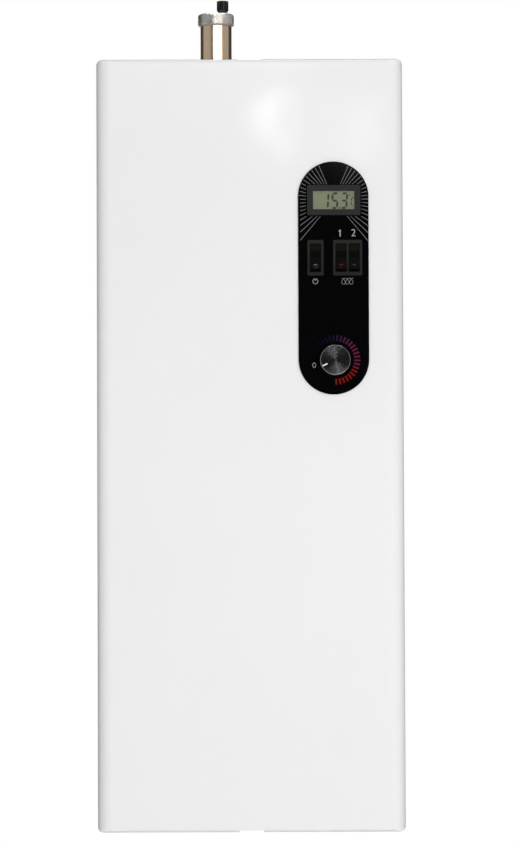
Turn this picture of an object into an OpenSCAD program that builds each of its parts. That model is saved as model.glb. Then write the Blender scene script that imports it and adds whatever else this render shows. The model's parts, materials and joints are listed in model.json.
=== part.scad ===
// Wall-hung electric heating boiler with a circulation pump.
// The origin lies on the wall plane, midway between the two hanging holes.
// +Z is up, -Y is the front and +X is the viewer's right.

/* [Casing] */
// Width of the casing
case_w = 270; // [266:1:300]
// Height of the casing
case_h = 678.5; // [672:0.5:760]
// Depth of the casing, from the wall to its front
case_d = 155; // [154:1:180]
// Outer radius of the cover's upright bends
edge_r = 12; // [8:1:15]
// Outer radius of the cover's top and bottom bends
rim_r = 3; // [2:0.5:4]
// Sheet thickness of the cover
cover_t = 1.2; // [1:0.1:1.4]
// Sheet thickness of the chassis
chassis_t = 1.5; // [1.2:0.1:2]
// Height of the open bay below the bottom shelf
bay_h = 30; // [29:1:38]

/* [Wall fixing] */
// Distance from the hanging holes up to the top of the casing
hang_drop = 61.5; // [50:0.5:90]
// Spacing of the hanging holes
hang_pitch = 180; // [176:1:200]
// Radius of a hanging hole's wide end
key_r = 5.5; // [5:0.5:7]

/* [Heat exchanger] */
// Distance of the vessel's axis from the casing's middle, to the right
vessel_x = -30; // [-32:1:-29]
// Distance of the water pipes and the vessel from the wall
water_y = 52; // [51:1:56]
// Outer radius of the vessel
vessel_r = 38; // [34:1:39]
// Wall of the vessel
vessel_t = 2; // [1.5:0.5:3]
// Thickness of the insulation jacket
jacket_t = 8; // [5:1:9]
// Height of the vessel's lower end above the bottom shelf
vessel_up = 160; // [156:1:175]
// Length of the heating rods inside the vessel
rod_l = 300; // [200:10:340]

/* [Pipes] */
// Outer radius of the water pipes
pipe_r = 13.4; // [12:0.2:13.4]
// Wall of the water pipes
pipe_t = 2.5; // [2:0.5:3]
// Radius of the female pipe thread at the two water sockets
socket_r = 12.1; // [11:0.1:12.6]

/* [Pump] */
// Distance of the pump's axis from the casing's middle, to the right
pump_x = 72; // [70:1:76]
// Height of the pump's axis above the bottom shelf
pump_up = 120; // [118:1:130]
// Length of the pump between its two port faces
pump_l = 130; // [128:1:140]
// Radius of the pump's motor housing
motor_r = 46; // [43:1:48]

/* [Air vent] */
// Height of the knurled ring's underside above the casing
vent_out = 42.4; // [38:0.1:46]
// Radius of the air vent's body
vent_r = 14.25; // [13.5:0.25:15]
// Radius of the knurled ring
ring_r = 16.4; // [15.8:0.2:17.2]
// Height of the knurled ring
ring_h = 11.1; // [11:0.1:14]
// Radius of the black screw cap
cap_r = 5.3; // [5:0.1:6]
// Height of the black screw cap
cap_h = 12.4; // [11:0.1:14]

/* [Control panel] */
// Width of the control panel
panel_w = 62; // [60:1:66]
// Height of the control panel
panel_h = 205; // [200:1:220]
// Thickness of the control panel
panel_t = 2; // [1.5:0.5:3]
// Distance of the panel's axis from the casing's middle, to the right
panel_x = 73.5; // [70:0.5:75]
// Distance of the panel's top below the top of the casing
panel_drop = 91; // [84:0.1:100]

/* [Knob and switches] */
// Radius of the thermostat knob
knob_r = 13.3; // [12:0.1:14.5]
// Height of the thermostat knob
knob_h = 15; // [13:0.5:18]
// Tilt of a rocker to either side in degrees
rocker_tilt = 12; // [9:1:13]
// Length of a switch frame's front rim
frame_l = 31.2; // [31:0.1:33]

/* [Hidden] */
$fn = 96;
// Overrun of every cut, and the usual gap between pieces that are put together
cut = 1;
fit = 0.3;
// Gap round a shaft or pin that turns in its bearing
run_fit = 0.05;

// Levels and lines that several pieces share
case_top = hang_drop;
case_bottom = case_top - case_h;
front_y = -case_d;
inner_front_y = front_y + cover_t;
vessel_y = -water_y;
lining = cover_t + fit;
flange_x = case_w / 2 - lining;
shelf_top_z = case_top - lining;
bay_top = case_bottom + bay_h;
bay_roof = bay_top - chassis_t;
corner_r = 5;

// Air vent, counted down from its ring
vent_body_h = 60.9;
vent_hex_af = 26;
vent_hex_h = 7;
vent_tail_r = 10.4;
boss_h = 28;
ring_base_z = case_top + vent_out;
vent_base_z = ring_base_z - vent_body_h;
vessel_top = vent_base_z - vent_hex_h - boss_h;
vessel_bottom = bay_top + vessel_up;
jacket_r = vessel_r + jacket_t;

// Stubs on the vessel, and the pipes' centre lines
stub_over = 2;
stub_l = jacket_r + stub_over;
stub_end_r = vessel_x + stub_l;
stub_end_l = vessel_x - stub_l;
pipe_in_r = pipe_r - pipe_t;
pipe_bend = 20;
nut_l = 18;
nut_on_stub = 6;
nut_af = 36;
nut_run = nut_l - nut_on_stub + cut;
return_x = stub_end_l - nut_run - pipe_bend;
return_up = 32;
supply_down = 34;
return_z = vessel_bottom + return_up;
supply_z = vessel_top - supply_down;
gasket_t = 2;

// Pump axis and faces
pump_z = bay_top + pump_up;
pump_top_z = pump_z + pump_l / 2;
pump_low_z = pump_z - pump_l / 2;
port_r = 23.9;
port_in_r = 12.5;
volute_r = 44;
volute_back = 22;
volute_front = 20;
motor_back_y = vessel_y - volute_front;
motor_l = 76;
motor_front_y = motor_back_y - motor_l;

// Places on the control panel
panel_top_z = case_top - panel_drop;
panel_front_y = front_y - panel_t;
display_shift = 0.4;
display_drop = 34.2;
switch_drop = 84.9;
power_shift = -15.8;
stage_shift = 12.4;
rocker_pitch = 11.5;
knob_shift = 1;
knob_drop = 175.3;
display_x = panel_x + display_shift;
display_z = panel_top_z - display_drop;
power_x = panel_x + power_shift;
stage_x = panel_x + stage_shift;
switch_z = panel_top_z - switch_drop;
knob_x = panel_x + knob_shift;
knob_z = panel_top_z - knob_drop;

// Turns local +Z to the front, local +Y up and keeps local +X to the right
module to_front(x, y, z) {
    translate([x, y, z]) rotate([90, 0, 0]) children();
}

module ring_tube(r_out, r_in, h) {
    difference() {
        cylinder(r = r_out, h = h);
        translate([0, 0, -cut]) cylinder(r = r_in, h = h + 2 * cut);
    }
}

module hex_bar(af, h) {
    cylinder(r = af / 2 / cos(30), h = h, $fn = 6);
}

module bent_quarter(bend, r_out, r_in) {
    // A quarter bend from the origin along +X, turning towards +Y
    translate([0, bend, 0]) rotate([0, 0, -90]) rotate_extrude(angle = 90)
        translate([bend, 0]) difference() {
            circle(r = r_out);
            if (r_in > 0) circle(r = r_in);
        }
}

// Smooth round wire through a list of points
function unit(v) = v / norm(v);
function spline_at(p, k, t) =
    let (a = p[max(k - 1, 0)], b = p[k], c = p[k + 1], d = p[min(k + 2, len(p) - 1)])
    0.5 * (2 * b + t * (c - a) + t * t * (2 * a - 5 * b + 4 * c - d) + t * t * t * (3 * b - a - 3 * c + d));
function spline(p, steps) = concat(
    [for (k = [0 : len(p) - 2]) for (s = [0 : steps - 1]) spline_at(p, k, s / steps)], [p[len(p) - 1]]);
function heading(p, i) = unit(p[min(i + 1, len(p) - 1)] - p[max(i - 1, 0)]);
function squared(n, t) = unit(n - (n * t) * t);
function first_normal(t) = squared(abs(t[2]) < 0.8 ? [0, 0, 1] : [1, 0, 0], t);
function normals(p) = [for (i = 0, n = first_normal(heading(p, 0)); i < len(p);
    i = i + 1, n = squared(n, heading(p, min(i, len(p) - 1)))) n];

module sweep(p, r, sides) {
    n = normals(p);
    last = len(p) - 1;
    rings = [for (i = [0 : last]) let (t = heading(p, i), b = cross(t, n[i]))
        for (s = [0 : sides - 1]) p[i] + r * (cos(360 * s / sides) * n[i] + sin(360 * s / sides) * b)];
    sidewall = [for (i = [0 : last - 1]) for (s = [0 : sides - 1])
        let (a = i * sides + s, b = i * sides + (s + 1) % sides)
        each [[a, b + sides, b], [a, a + sides, b + sides]]];
    start_cap = [for (s = [1 : sides - 2]) [0, s, s + 1]];
    end_cap = [for (s = [1 : sides - 2]) [last * sides, last * sides + s + 1, last * sides + s]];
    polyhedron(points = rings, faces = concat(sidewall, start_cap, end_cap));
}

module wire(points, r, steps = 4) {
    // The first and the last span stay straight, so that the ends are square
    last = len(points) - 1;
    sweep(concat([points[0]], spline([for (i = [1 : last - 1]) points[i]], steps), [points[last]]), r, 8);
}

// Rounded plate outline, a round-ended one when r is half its width
module soft_rect(w, h, r) {
    if (w > 2 * r) square([w - 2 * r, h], center = true);
    if (h > 2 * r) square([w, h - 2 * r], center = true);
    for (sx = [-1, 1]) for (sy = [-1, 1]) translate([sx * (w / 2 - r), sy * (h / 2 - r)]) circle(r = r);
}

// Outline seen from above, drawn in by inset, with round front corners
module plan_outline(inset) {
    w = case_w - 2 * inset;
    r = edge_r - inset;
    translate([-w / 2, front_y + inset + r]) square([w, case_d - inset - r]);
    translate([-w / 2 + r, front_y + inset]) square([w - 2 * r, case_d - inset]);
    for (s = [-1, 1]) translate([s * (w / 2 - r), front_y + inset + r]) circle(r = r);
}

// Outline seen from the side, as depth and height, with round front corners
module side_outline(inset) {
    h = case_h - 2 * inset;
    r = rim_r - inset;
    translate([0, case_bottom + inset + r]) square([case_d - inset, h - 2 * r]);
    translate([0, case_bottom + inset]) square([case_d - inset - r, h]);
    for (z = [case_bottom + inset + r, case_top - inset - r]) translate([case_d - inset - r, z])
        circle(r = r);
}

module cover_form(inset) {
    intersection() {
        translate([0, 0, case_bottom]) linear_extrude(case_h) plan_outline(inset);
        translate([case_w / 2, 0, 0]) rotate([90, 0, -90]) linear_extrude(case_w) side_outline(inset);
        to_front(0, 0, (case_top + case_bottom) / 2) linear_extrude(case_d)
            soft_rect(case_w - 2 * inset, case_h - 2 * inset, corner_r - inset);
    }
}

// A box that ends flush with the front of y and reaches back by depth
module box_behind(x, y, z, w, h, depth) {
    translate([x - w / 2, y, z - h / 2]) cube([w, depth, h]);
}

flange_d = 18;
cover_gap = 1;
notch_w = 21;
notch_h = 1.5;
tongue_t = 0.9;
screw_r = 2;
screw_head_r = 4;
screw_head_h = 2.2;
screw_l = 8;
screw_in = 100;
screw_back = 8;
screw_drive_af = 2.3;
screw_levels = [case_top - screw_in, case_bottom + screw_in];
shaft_hole_r = 5.2;
frame_d = 22;
frame_rim = 2;
frame_w = 14.2;
stage_frame_w = 25.5;
frame_lap = 1.5;
frame_body_l = frame_l - 2 * frame_lap;
frame_body_w = 12;
stage_body_w = 23.5;
bezel_w = 46.8;
bezel_h = 26.4;
bezel_rim = 2.5;
bezel_lap = 1;
display_d = 14;
rim_corner_r = 1;

// The holes through the cover and the panel behind the display, the switches and the knob
module panel_holes(y, depth) {
    box_behind(display_x, y, display_z, bezel_w - 2 * bezel_lap + 2 * fit,
        bezel_h - 2 * bezel_lap + 2 * fit, depth);
    box_behind(power_x, y, switch_z, frame_body_w + 2 * fit, frame_body_l + 2 * fit, depth);
    box_behind(stage_x, y, switch_z, stage_body_w + 2 * fit, frame_body_l + 2 * fit, depth);
    to_front(knob_x, y + depth, knob_z) cylinder(r = shaft_hole_r, h = depth);
}

module front_cover() {
    color("white") difference() {
        cover_form(0);
        cover_form(cover_t);
        translate([-case_w / 2 - cut, -cover_gap, case_bottom - cut])
            cube([case_w + 2 * cut, cover_gap + cut, case_h + 2 * cut]);
        translate([corner_r - case_w / 2, front_y + flange_d, case_bottom - cut])
            cube([case_w - 2 * corner_r, case_d, case_h + 2 * cut]);
        for (z = [case_bottom - cut, case_top - notch_h])
            translate([-notch_w / 2, front_y - cut, z]) cube([notch_w, flange_d + 2 * cut, notch_h + cut]);
        panel_holes(front_y - cut, cover_t + 2 * cut);
        for (z = screw_levels) translate([-case_w / 2 - cut, -screw_back, z]) rotate([0, 90, 0])
            cylinder(r = screw_r + fit, h = case_w + 2 * cut);
    }
}

side_flange_d = 14;
key_slot_r = 3;
key_slot_l = 10;
lower_hole_up = 25;
lower_hole_r = 3.25;
strip_w = 40;
strip_back = 10;
foot_d = 12;
grommet_wall = 2.5;
grommet_hole_r = vent_r + grommet_wall;
socket_out_r = 17;
gland_x = -30;
gland_y = -110;
gland_thread_r = 12.5;
relief_x = -100;
hose_r = 6.5;
hose_out = 44;
hose_y = vessel_y - hose_out;

module chassis() {
    plate_h = shelf_top_z - case_bottom - 2 * corner_r;
    color("gainsboro") difference() {
        union() {
            translate([-flange_x, -chassis_t, case_bottom + corner_r])
                cube([2 * flange_x, chassis_t, plate_h]);
            translate([corner_r - case_w / 2, -chassis_t, case_bottom + corner_r])
                cube([case_w - 2 * corner_r, chassis_t, plate_h + corner_r]);
            for (x = [-flange_x, flange_x - chassis_t])
                translate([x, -side_flange_d, case_bottom + corner_r])
                cube([chassis_t, side_flange_d, plate_h]);
            translate([0, 0, shelf_top_z - chassis_t]) linear_extrude(chassis_t) plan_outline(corner_r);
            translate([0, 0, bay_roof]) linear_extrude(chassis_t) plan_outline(lining);
            translate([fit - notch_w / 2, front_y + corner_r, shelf_top_z])
                cube([notch_w - 2 * fit, flange_d - corner_r - fit, tongue_t]);
            translate([-strip_w / 2, front_y + strip_back, case_bottom + lining])
                cube([strip_w, chassis_t, bay_h - lining]);
            translate([-strip_w / 2, front_y + strip_back, case_bottom + lining])
                cube([strip_w, foot_d, chassis_t]);
        }
        for (x = [-1, 1] * hang_pitch / 2) {
            to_front(x, cut, 0) cylinder(r = key_r, h = chassis_t + 2 * cut);
            to_front(x, cut, key_slot_l) cylinder(r = key_slot_r, h = chassis_t + 2 * cut);
            translate([x - key_slot_r, -chassis_t - cut, 0])
                cube([2 * key_slot_r, chassis_t + 2 * cut, key_slot_l]);
            to_front(x, cut, bay_top + lower_hole_up) cylinder(r = lower_hole_r, h = chassis_t + 2 * cut);
        }
        for (z = screw_levels) translate([-case_w / 2, -screw_back, z]) rotate([0, 90, 0])
            cylinder(r = screw_r + run_fit, h = case_w);
        translate([vessel_x, vessel_y, shelf_top_z - chassis_t - cut])
            cylinder(r = grommet_hole_r + run_fit, h = chassis_t + 2 * cut);
        for (x = [return_x, pump_x]) translate([x, vessel_y, bay_roof - cut])
            cylinder(r = socket_out_r + fit, h = chassis_t + 2 * cut);
        translate([gland_x, gland_y, bay_roof - cut])
            cylinder(r = gland_thread_r + fit, h = chassis_t + 2 * cut);
        translate([relief_x, hose_y, bay_roof - cut]) cylinder(r = hose_r + fit, h = chassis_t + 2 * cut);
    }
}

module cover_screws() {
    color("silver") for (s = [-1, 1]) for (z = screw_levels) translate([s * case_w / 2, -screw_back, z])
        rotate([0, s * 90, 0]) difference() {
            union() {
                cylinder(r = screw_head_r, h = screw_head_h);
                translate([0, 0, -screw_l]) cylinder(r = screw_r, h = screw_l);
            }
            translate([0, 0, screw_head_h / 2]) hex_bar(screw_drive_af, screw_head_h);
        }
}

grommet_lip = 2;
grommet_lip_t = 1.5;

module vent_grommet() {
    groove_t = chassis_t + 2 * run_fit;
    color("dimgray") translate([vessel_x, vessel_y, shelf_top_z - chassis_t]) difference() {
        union() {
            translate([0, 0, -run_fit]) cylinder(r = grommet_hole_r, h = groove_t);
            for (z = [-run_fit - grommet_lip_t, chassis_t + run_fit]) translate([0, 0, z])
                cylinder(r = grommet_hole_r + grommet_lip, h = grommet_lip_t);
        }
        translate([0, 0, -grommet_lip_t - cut])
            cylinder(r = vent_r + run_fit, h = groove_t + 2 * grommet_lip_t + 2 * cut);
    }
}

module control_panel() {
    color("black") difference() {
        to_front(panel_x, front_y, panel_top_z - panel_h / 2) linear_extrude(panel_t)
            soft_rect(panel_w, panel_h, panel_w / 2);
        panel_holes(panel_front_y - cut, panel_t + 2 * cut);
    }
}

glass_w = 36.5;
glass_h = 16.2;
glass_t = 1.2;
glass_in = 0.4;
display_wall = 1.4;
screen_t = 3;
screen_lap = 1.5;

module display_case() {
    color("dimgray") difference() {
        union() {
            to_front(display_x, panel_front_y, display_z) linear_extrude(bezel_rim)
                soft_rect(bezel_w, bezel_h, rim_corner_r);
            box_behind(display_x, panel_front_y, display_z, bezel_w - 2 * bezel_lap,
                bezel_h - 2 * bezel_lap, display_d);
        }
        box_behind(display_x, panel_front_y - bezel_rim - cut, display_z, glass_w, glass_h,
            bezel_rim + 2 * cut);
        box_behind(display_x, panel_front_y - bezel_rim + glass_in + glass_t + fit, display_z,
            glass_w + 2 * screen_lap, glass_h + 2 * screen_lap,
                bezel_rim + display_d - glass_in - glass_t - fit - display_wall);
    }
}

module display_screen() {
    color("darkseagreen") box_behind(display_x, panel_front_y - bezel_rim + glass_in + glass_t + fit,
        display_z,
        glass_w + 2 * screen_lap - run_fit, glass_h + 2 * screen_lap - run_fit, screen_t);
}

module display_window() {
    color("lightgray") box_behind(display_x, panel_front_y - bezel_rim + glass_in, display_z,
        glass_w - run_fit, glass_h - run_fit, glass_t + fit);
}

// Turns local +Z to the right
module to_right(x, y, z) {
    translate([x, y, z]) rotate([0, 90, 0]) children();
}

plate_t = 3;
boss_r = 14;
boss_bore_r = 7;
boss_bore_h = 14;
thread_r = 29.6;
thread_l = 14;
relief_down = 95;
relief_z = vessel_top - relief_down;
relief_tube_r = 10.5;
relief_bore_r = 7;
relief_collar_af = 26;
pocket_down = 145;
pocket_z = vessel_top - pocket_down;
pocket_r = 4.5;
pocket_in_r = 3.4;
pocket_out = 20;
pocket_x = vessel_x + pocket_out;
pocket_l = 34;
pocket_end = 1.5;

module vessel() {
    inner_r = vessel_r - vessel_t;
    boss_top = vessel_top + boss_h;
    color("lightsteelblue") difference() {
        union() {
            difference() {
                union() {
                    translate([vessel_x, vessel_y, vessel_bottom])
                        cylinder(r = vessel_r, h = vessel_top - vessel_bottom);
                    translate([vessel_x, vessel_y, vessel_top - cut])
                        cylinder(r = boss_r, h = boss_h + cut);
                    to_right(stub_end_l, vessel_y, return_z) cylinder(r = pipe_r, h = stub_l);
                    to_right(vessel_x, vessel_y, supply_z) cylinder(r = pipe_r, h = stub_l);
                    to_right(stub_end_l, vessel_y, relief_z) cylinder(r = relief_tube_r, h = stub_l);
                }
                translate([vessel_x, vessel_y, vessel_bottom + thread_l])
                    cylinder(r = inner_r, h = vessel_top - vessel_bottom - thread_l - plate_t);
                translate([vessel_x, vessel_y, vessel_bottom - cut])
                    cylinder(r = thread_r + run_fit, h = thread_l + 2 * cut);
                translate([vessel_x, vessel_y, vessel_top - plate_t - cut])
                    cylinder(r = boss_bore_r, h = boss_h + plate_t + 2 * cut);
                translate([vessel_x, vessel_y, boss_top - boss_bore_h])
                    cylinder(r = vent_tail_r + run_fit, h = boss_bore_h + cut);
                to_right(stub_end_l - cut, vessel_y, return_z) cylinder(r = pipe_in_r, h = stub_l);
                to_right(vessel_x + cut, vessel_y, supply_z) cylinder(r = pipe_in_r, h = stub_l);
                to_right(stub_end_l - cut, vessel_y, relief_z) cylinder(r = relief_bore_r, h = stub_l);
            }
            to_right(pocket_x, vessel_y, pocket_z) cylinder(r = pocket_r, h = pocket_l);
        }
        to_right(pocket_x + pocket_end, vessel_y, pocket_z) cylinder(r = pocket_in_r, h = pocket_l);
    }
}

module vessel_jacket() {
    nut_clear_r = nut_af / 2 / cos(30) + cut;
    relief_clear_r = relief_collar_af / 2 / cos(30) + cut;
    color("dimgray") difference() {
        translate([vessel_x, vessel_y, vessel_bottom])
            ring_tube(jacket_r, vessel_r + fit, vessel_top - vessel_bottom);
        to_right(vessel_x - 2 * jacket_r, vessel_y, return_z) cylinder(r = nut_clear_r, h = 2 * jacket_r);
        to_right(vessel_x, vessel_y, supply_z) cylinder(r = nut_clear_r, h = 2 * jacket_r);
        to_right(vessel_x - 2 * jacket_r, vessel_y, relief_z)
            cylinder(r = relief_clear_r, h = 2 * jacket_r);
        to_right(vessel_x, vessel_y, pocket_z) cylinder(r = pocket_r + cut, h = 2 * jacket_r);
        translate([vessel_x - fit, vessel_y - 2 * jacket_r, vessel_bottom - cut])
            cube([2 * fit, 2 * jacket_r, vessel_top - vessel_bottom + 2 * cut]);
    }
}

clamp_h = 20;
clamp_t = 1.5;
clamp_w = 76;
clamp_web_w = 24;
clamp_low = 100;
clamp_high = 130;

module vessel_clamps() {
    color("silver") for (z = [vessel_bottom + clamp_low, vessel_top - clamp_high]) difference() {
        union() {
            translate([vessel_x, vessel_y, z]) cylinder(r = jacket_r + clamp_t, h = clamp_h);
            translate([vessel_x - clamp_w / 2, -chassis_t - clamp_t, z]) cube([clamp_w, clamp_t, clamp_h]);
            translate([vessel_x - clamp_web_w / 2, vessel_y, z])
                cube([clamp_web_w, water_y - chassis_t - clamp_t, clamp_h]);
        }
        translate([vessel_x, vessel_y, z - cut]) cylinder(r = jacket_r + run_fit, h = clamp_h + 2 * cut);
    }
}

head_af = 68;
head_h = 12;
head_z = vessel_bottom - gasket_t - head_h;
rod_r = 4.25;
rod_ring_r = 18;
rod_tail = 3;
insulator_r = 4.2;
insulator_h = 6;
stud_r = 2;
stud_l = 14;
stud_nut_af = 7;
stud_nut_h = 3;
star_t = 1.5;
rod_top_z = vessel_bottom + rod_l;
insulator_z = head_z - rod_tail - insulator_h;
star_z = insulator_z - star_t;

// Places one child at each of the heating rods' six legs
module at_legs() {
    for (i = [0 : 5]) translate([vessel_x, vessel_y, 0]) rotate([0, 0, 30 + 60 * i])
        translate([rod_ring_r, 0, 0]) children();
}

module element_head() {
    color("goldenrod") difference() {
        union() {
            translate([vessel_x, vessel_y, head_z]) hex_bar(head_af, head_h);
            translate([vessel_x, vessel_y, head_z])
                cylinder(r = thread_r, h = head_h + gasket_t + thread_l);
        }
        at_legs() translate([0, 0, head_z - cut])
            cylinder(r = rod_r + run_fit, h = head_h + gasket_t + thread_l + 2 * cut);
    }
}

module heating_rods() {
    bend = rod_ring_r * sin(30);
    color("slategray") for (i = [0 : 2]) translate([vessel_x, vessel_y, 0]) rotate([0, 0, 60 + 120 * i])
        translate([rod_ring_r * cos(30), 0, 0]) {
            for (s = [-1, 1]) translate([0, s * bend, head_z - rod_tail])
                cylinder(r = rod_r, h = rod_top_z - head_z + rod_tail);
            translate([0, 0, rod_top_z]) rotate([90, 0, 90]) rotate_extrude(angle = 180)
                translate([bend, 0]) circle(r = rod_r);
        }
}

module rod_insulators() {
    color("ivory") at_legs() translate([0, 0, insulator_z])
        ring_tube(insulator_r, stud_r + run_fit, insulator_h);
}

module rod_terminals() {
    color("silver") {
        at_legs() {
            translate([0, 0, head_z - rod_tail - stud_l]) cylinder(r = stud_r, h = stud_l);
            translate([0, 0, star_z - stud_nut_h]) hex_bar(stud_nut_af, stud_nut_h);
        }
        translate([vessel_x, vessel_y, star_z]) for (i = [0 : 2]) rotate([0, 0, 30 + 120 * i]) {
            translate([0, -stud_nut_af / 2, 0]) cube([rod_ring_r, stud_nut_af, star_t]);
            translate([rod_ring_r, 0, 0]) cylinder(r = stud_nut_af / 2, h = star_t);
        }
    }
}

socket_up = 3;
socket_deep = 16;
collar_t = 3;
pump_nut_af = 54;
pump_nut_l = 20;
pump_nut_lap = 13;
socket_z = case_bottom + socket_up;
socket_top_z = bay_top + socket_up;

// A female pipe socket that stands in the bottom shelf, with its bore
module socket_form(x) {
    translate([x, vessel_y, socket_z]) cylinder(r = socket_out_r, h = socket_top_z - socket_z);
}

module socket_bore(x) {
    translate([x, vessel_y, socket_z - cut]) cylinder(r = socket_r, h = socket_deep + cut);
    translate([x, vessel_y, socket_z]) cylinder(r = pipe_in_r, h = socket_top_z - socket_z + cut);
}

module return_pipe() {
    straight_h = return_z - pipe_bend - socket_top_z;
    color("peru") {
        difference() {
            union() {
                socket_form(return_x);
                translate([return_x, vessel_y, socket_top_z - cut])
                    cylinder(r = pipe_r, h = straight_h + cut);
            }
            socket_bore(return_x);
            translate([return_x, vessel_y, socket_top_z - 2 * cut])
                cylinder(r = pipe_in_r, h = straight_h + 3 * cut);
        }
        translate([return_x, vessel_y, return_z - pipe_bend]) rotate([0, -90, -90])
            bent_quarter(pipe_bend, pipe_r, pipe_in_r);
        to_right(return_x + pipe_bend, vessel_y, return_z)
            ring_tube(pipe_r, pipe_in_r, stub_end_l - gasket_t - return_x - pipe_bend);
    }
}

module supply_pipe() {
    start_x = stub_end_r + gasket_t;
    end_z = pump_top_z + gasket_t;
    color("peru") {
        to_right(start_x, vessel_y, supply_z) ring_tube(pipe_r, pipe_in_r, pump_x - pipe_bend - start_x);
        translate([pump_x - pipe_bend, vessel_y, supply_z]) rotate([-90, 0, 0])
            bent_quarter(pipe_bend, pipe_r, pipe_in_r);
        difference() {
            union() {
                translate([pump_x, vessel_y, end_z]) cylinder(r = pipe_r, h = supply_z - pipe_bend - end_z);
                translate([pump_x, vessel_y, end_z]) cylinder(r = port_r, h = collar_t);
            }
            translate([pump_x, vessel_y, end_z - cut]) cylinder(r = pipe_in_r, h = supply_z - end_z);
        }
    }
}

module supply_tail() {
    start_z = pump_low_z - gasket_t;
    color("peru") difference() {
        union() {
            socket_form(pump_x);
            translate([pump_x, vessel_y, socket_top_z - cut])
                cylinder(r = pipe_r, h = start_z - socket_top_z + cut);
            translate([pump_x, vessel_y, start_z - collar_t]) cylinder(r = port_r, h = collar_t);
        }
        socket_bore(pump_x);
        translate([pump_x, vessel_y, socket_top_z - cut])
            cylinder(r = pipe_in_r, h = start_z - socket_top_z + 2 * cut);
    }
}

module pump_nut() {
    difference() {
        hex_bar(pump_nut_af, pump_nut_l);
        translate([0, 0, -cut]) cylinder(r = port_r + run_fit, h =
            pump_nut_lap + gasket_t + collar_t + cut);
        cylinder(r = pipe_r + run_fit, h = pump_nut_l + cut);
    }
}

module union_nuts() {
    color("darkgoldenrod") {
        for (end = [[stub_end_l + nut_on_stub - nut_l, return_z], [stub_end_r - nut_on_stub, supply_z]])
            to_right(end[0], vessel_y, end[1]) difference() {
                hex_bar(nut_af, nut_l);
                translate([0, 0, -cut]) cylinder(r = pipe_r + run_fit, h = nut_l + 2 * cut);
            }
        translate([pump_x, vessel_y, pump_top_z - pump_nut_lap]) pump_nut();
        translate([pump_x, vessel_y, pump_low_z + pump_nut_lap]) mirror([0, 0, 1]) pump_nut();
    }
}

module water_gaskets() {
    color("darkslategray") {
        to_right(stub_end_l - gasket_t, vessel_y, return_z) ring_tube(pipe_r, pipe_in_r, gasket_t);
        to_right(stub_end_r, vessel_y, supply_z) ring_tube(pipe_r, pipe_in_r, gasket_t);
        for (z = [pump_top_z, pump_low_z - gasket_t]) translate([pump_x, vessel_y, z])
            ring_tube(port_r, port_in_r, gasket_t);
        translate([vessel_x, vessel_y, vessel_bottom - gasket_t])
            ring_tube(head_af / 2, thread_r + run_fit, gasket_t);
    }
}

port_h = 15;
neck_r = 18;
chamber_r = 36;
chamber_wall = 8;
spigot_l = 6;
shield_t = 6;
motor_wall = 3;
end_wall = 6;
bearing_r = 10;
bearing_l = 12;
shaft_r = 5;
impeller_r = 33;
impeller_t = 12;
impeller_in = 16;
vane_t = 2;
rotor_r = 22;
rotor_l = 42;
rotor_gap = 1.5;
rotor_in = 9;
end_gap = 1;
lug_at_r = 51;
lug_r = 6;
lug_l = 8;
bolt_r = 2.5;
bolt_head_r = 4.2;
bolt_head_h = 4;
bolt_in = 12;
vent_screw_r = 6;
vent_screw_in = 4;
vent_screw_lip = 2;
slot_w = 1.2;

// Turns local +Z to the front along the pump's axis, from the depth y
module on_pump(y) {
    to_front(pump_x, y, pump_z) children();
}

module at_bolts() {
    for (a = [45 : 90 : 315]) rotate([0, 0, a]) translate([lug_at_r, 0, 0]) children();
}

module pump_body() {
    back_y = vessel_y + volute_back;
    volute_l = volute_back + volute_front;
    color("firebrick") difference() {
        union() {
            on_pump(back_y) cylinder(r = volute_r, h = volute_l);
            translate([pump_x, vessel_y, pump_low_z]) cylinder(r = neck_r, h = pump_l);
            for (z = [pump_low_z, pump_top_z - port_h]) translate([pump_x, vessel_y, z])
                cylinder(r = port_r, h = port_h);
            on_pump(motor_back_y + lug_l) at_bolts() cylinder(r = lug_r, h = lug_l);
            on_pump(motor_back_y + lug_l) for (a = [45 : 90 : 315]) rotate([0, 0, a])
                translate([chamber_r + chamber_wall / 2, -lug_r, 0])
                    cube([lug_at_r - chamber_r - chamber_wall / 2, 2 * lug_r, lug_l]);
        }
        on_pump(back_y - chamber_wall) cylinder(r = chamber_r, h = volute_l - chamber_wall + cut);
        translate([pump_x, vessel_y, pump_low_z - cut]) cylinder(r = port_in_r, h = pump_l + 2 * cut);
        on_pump(motor_back_y + lug_l + cut) at_bolts() cylinder(r = bolt_r + run_fit, h = lug_l + 2 * cut);
    }
}

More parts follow.
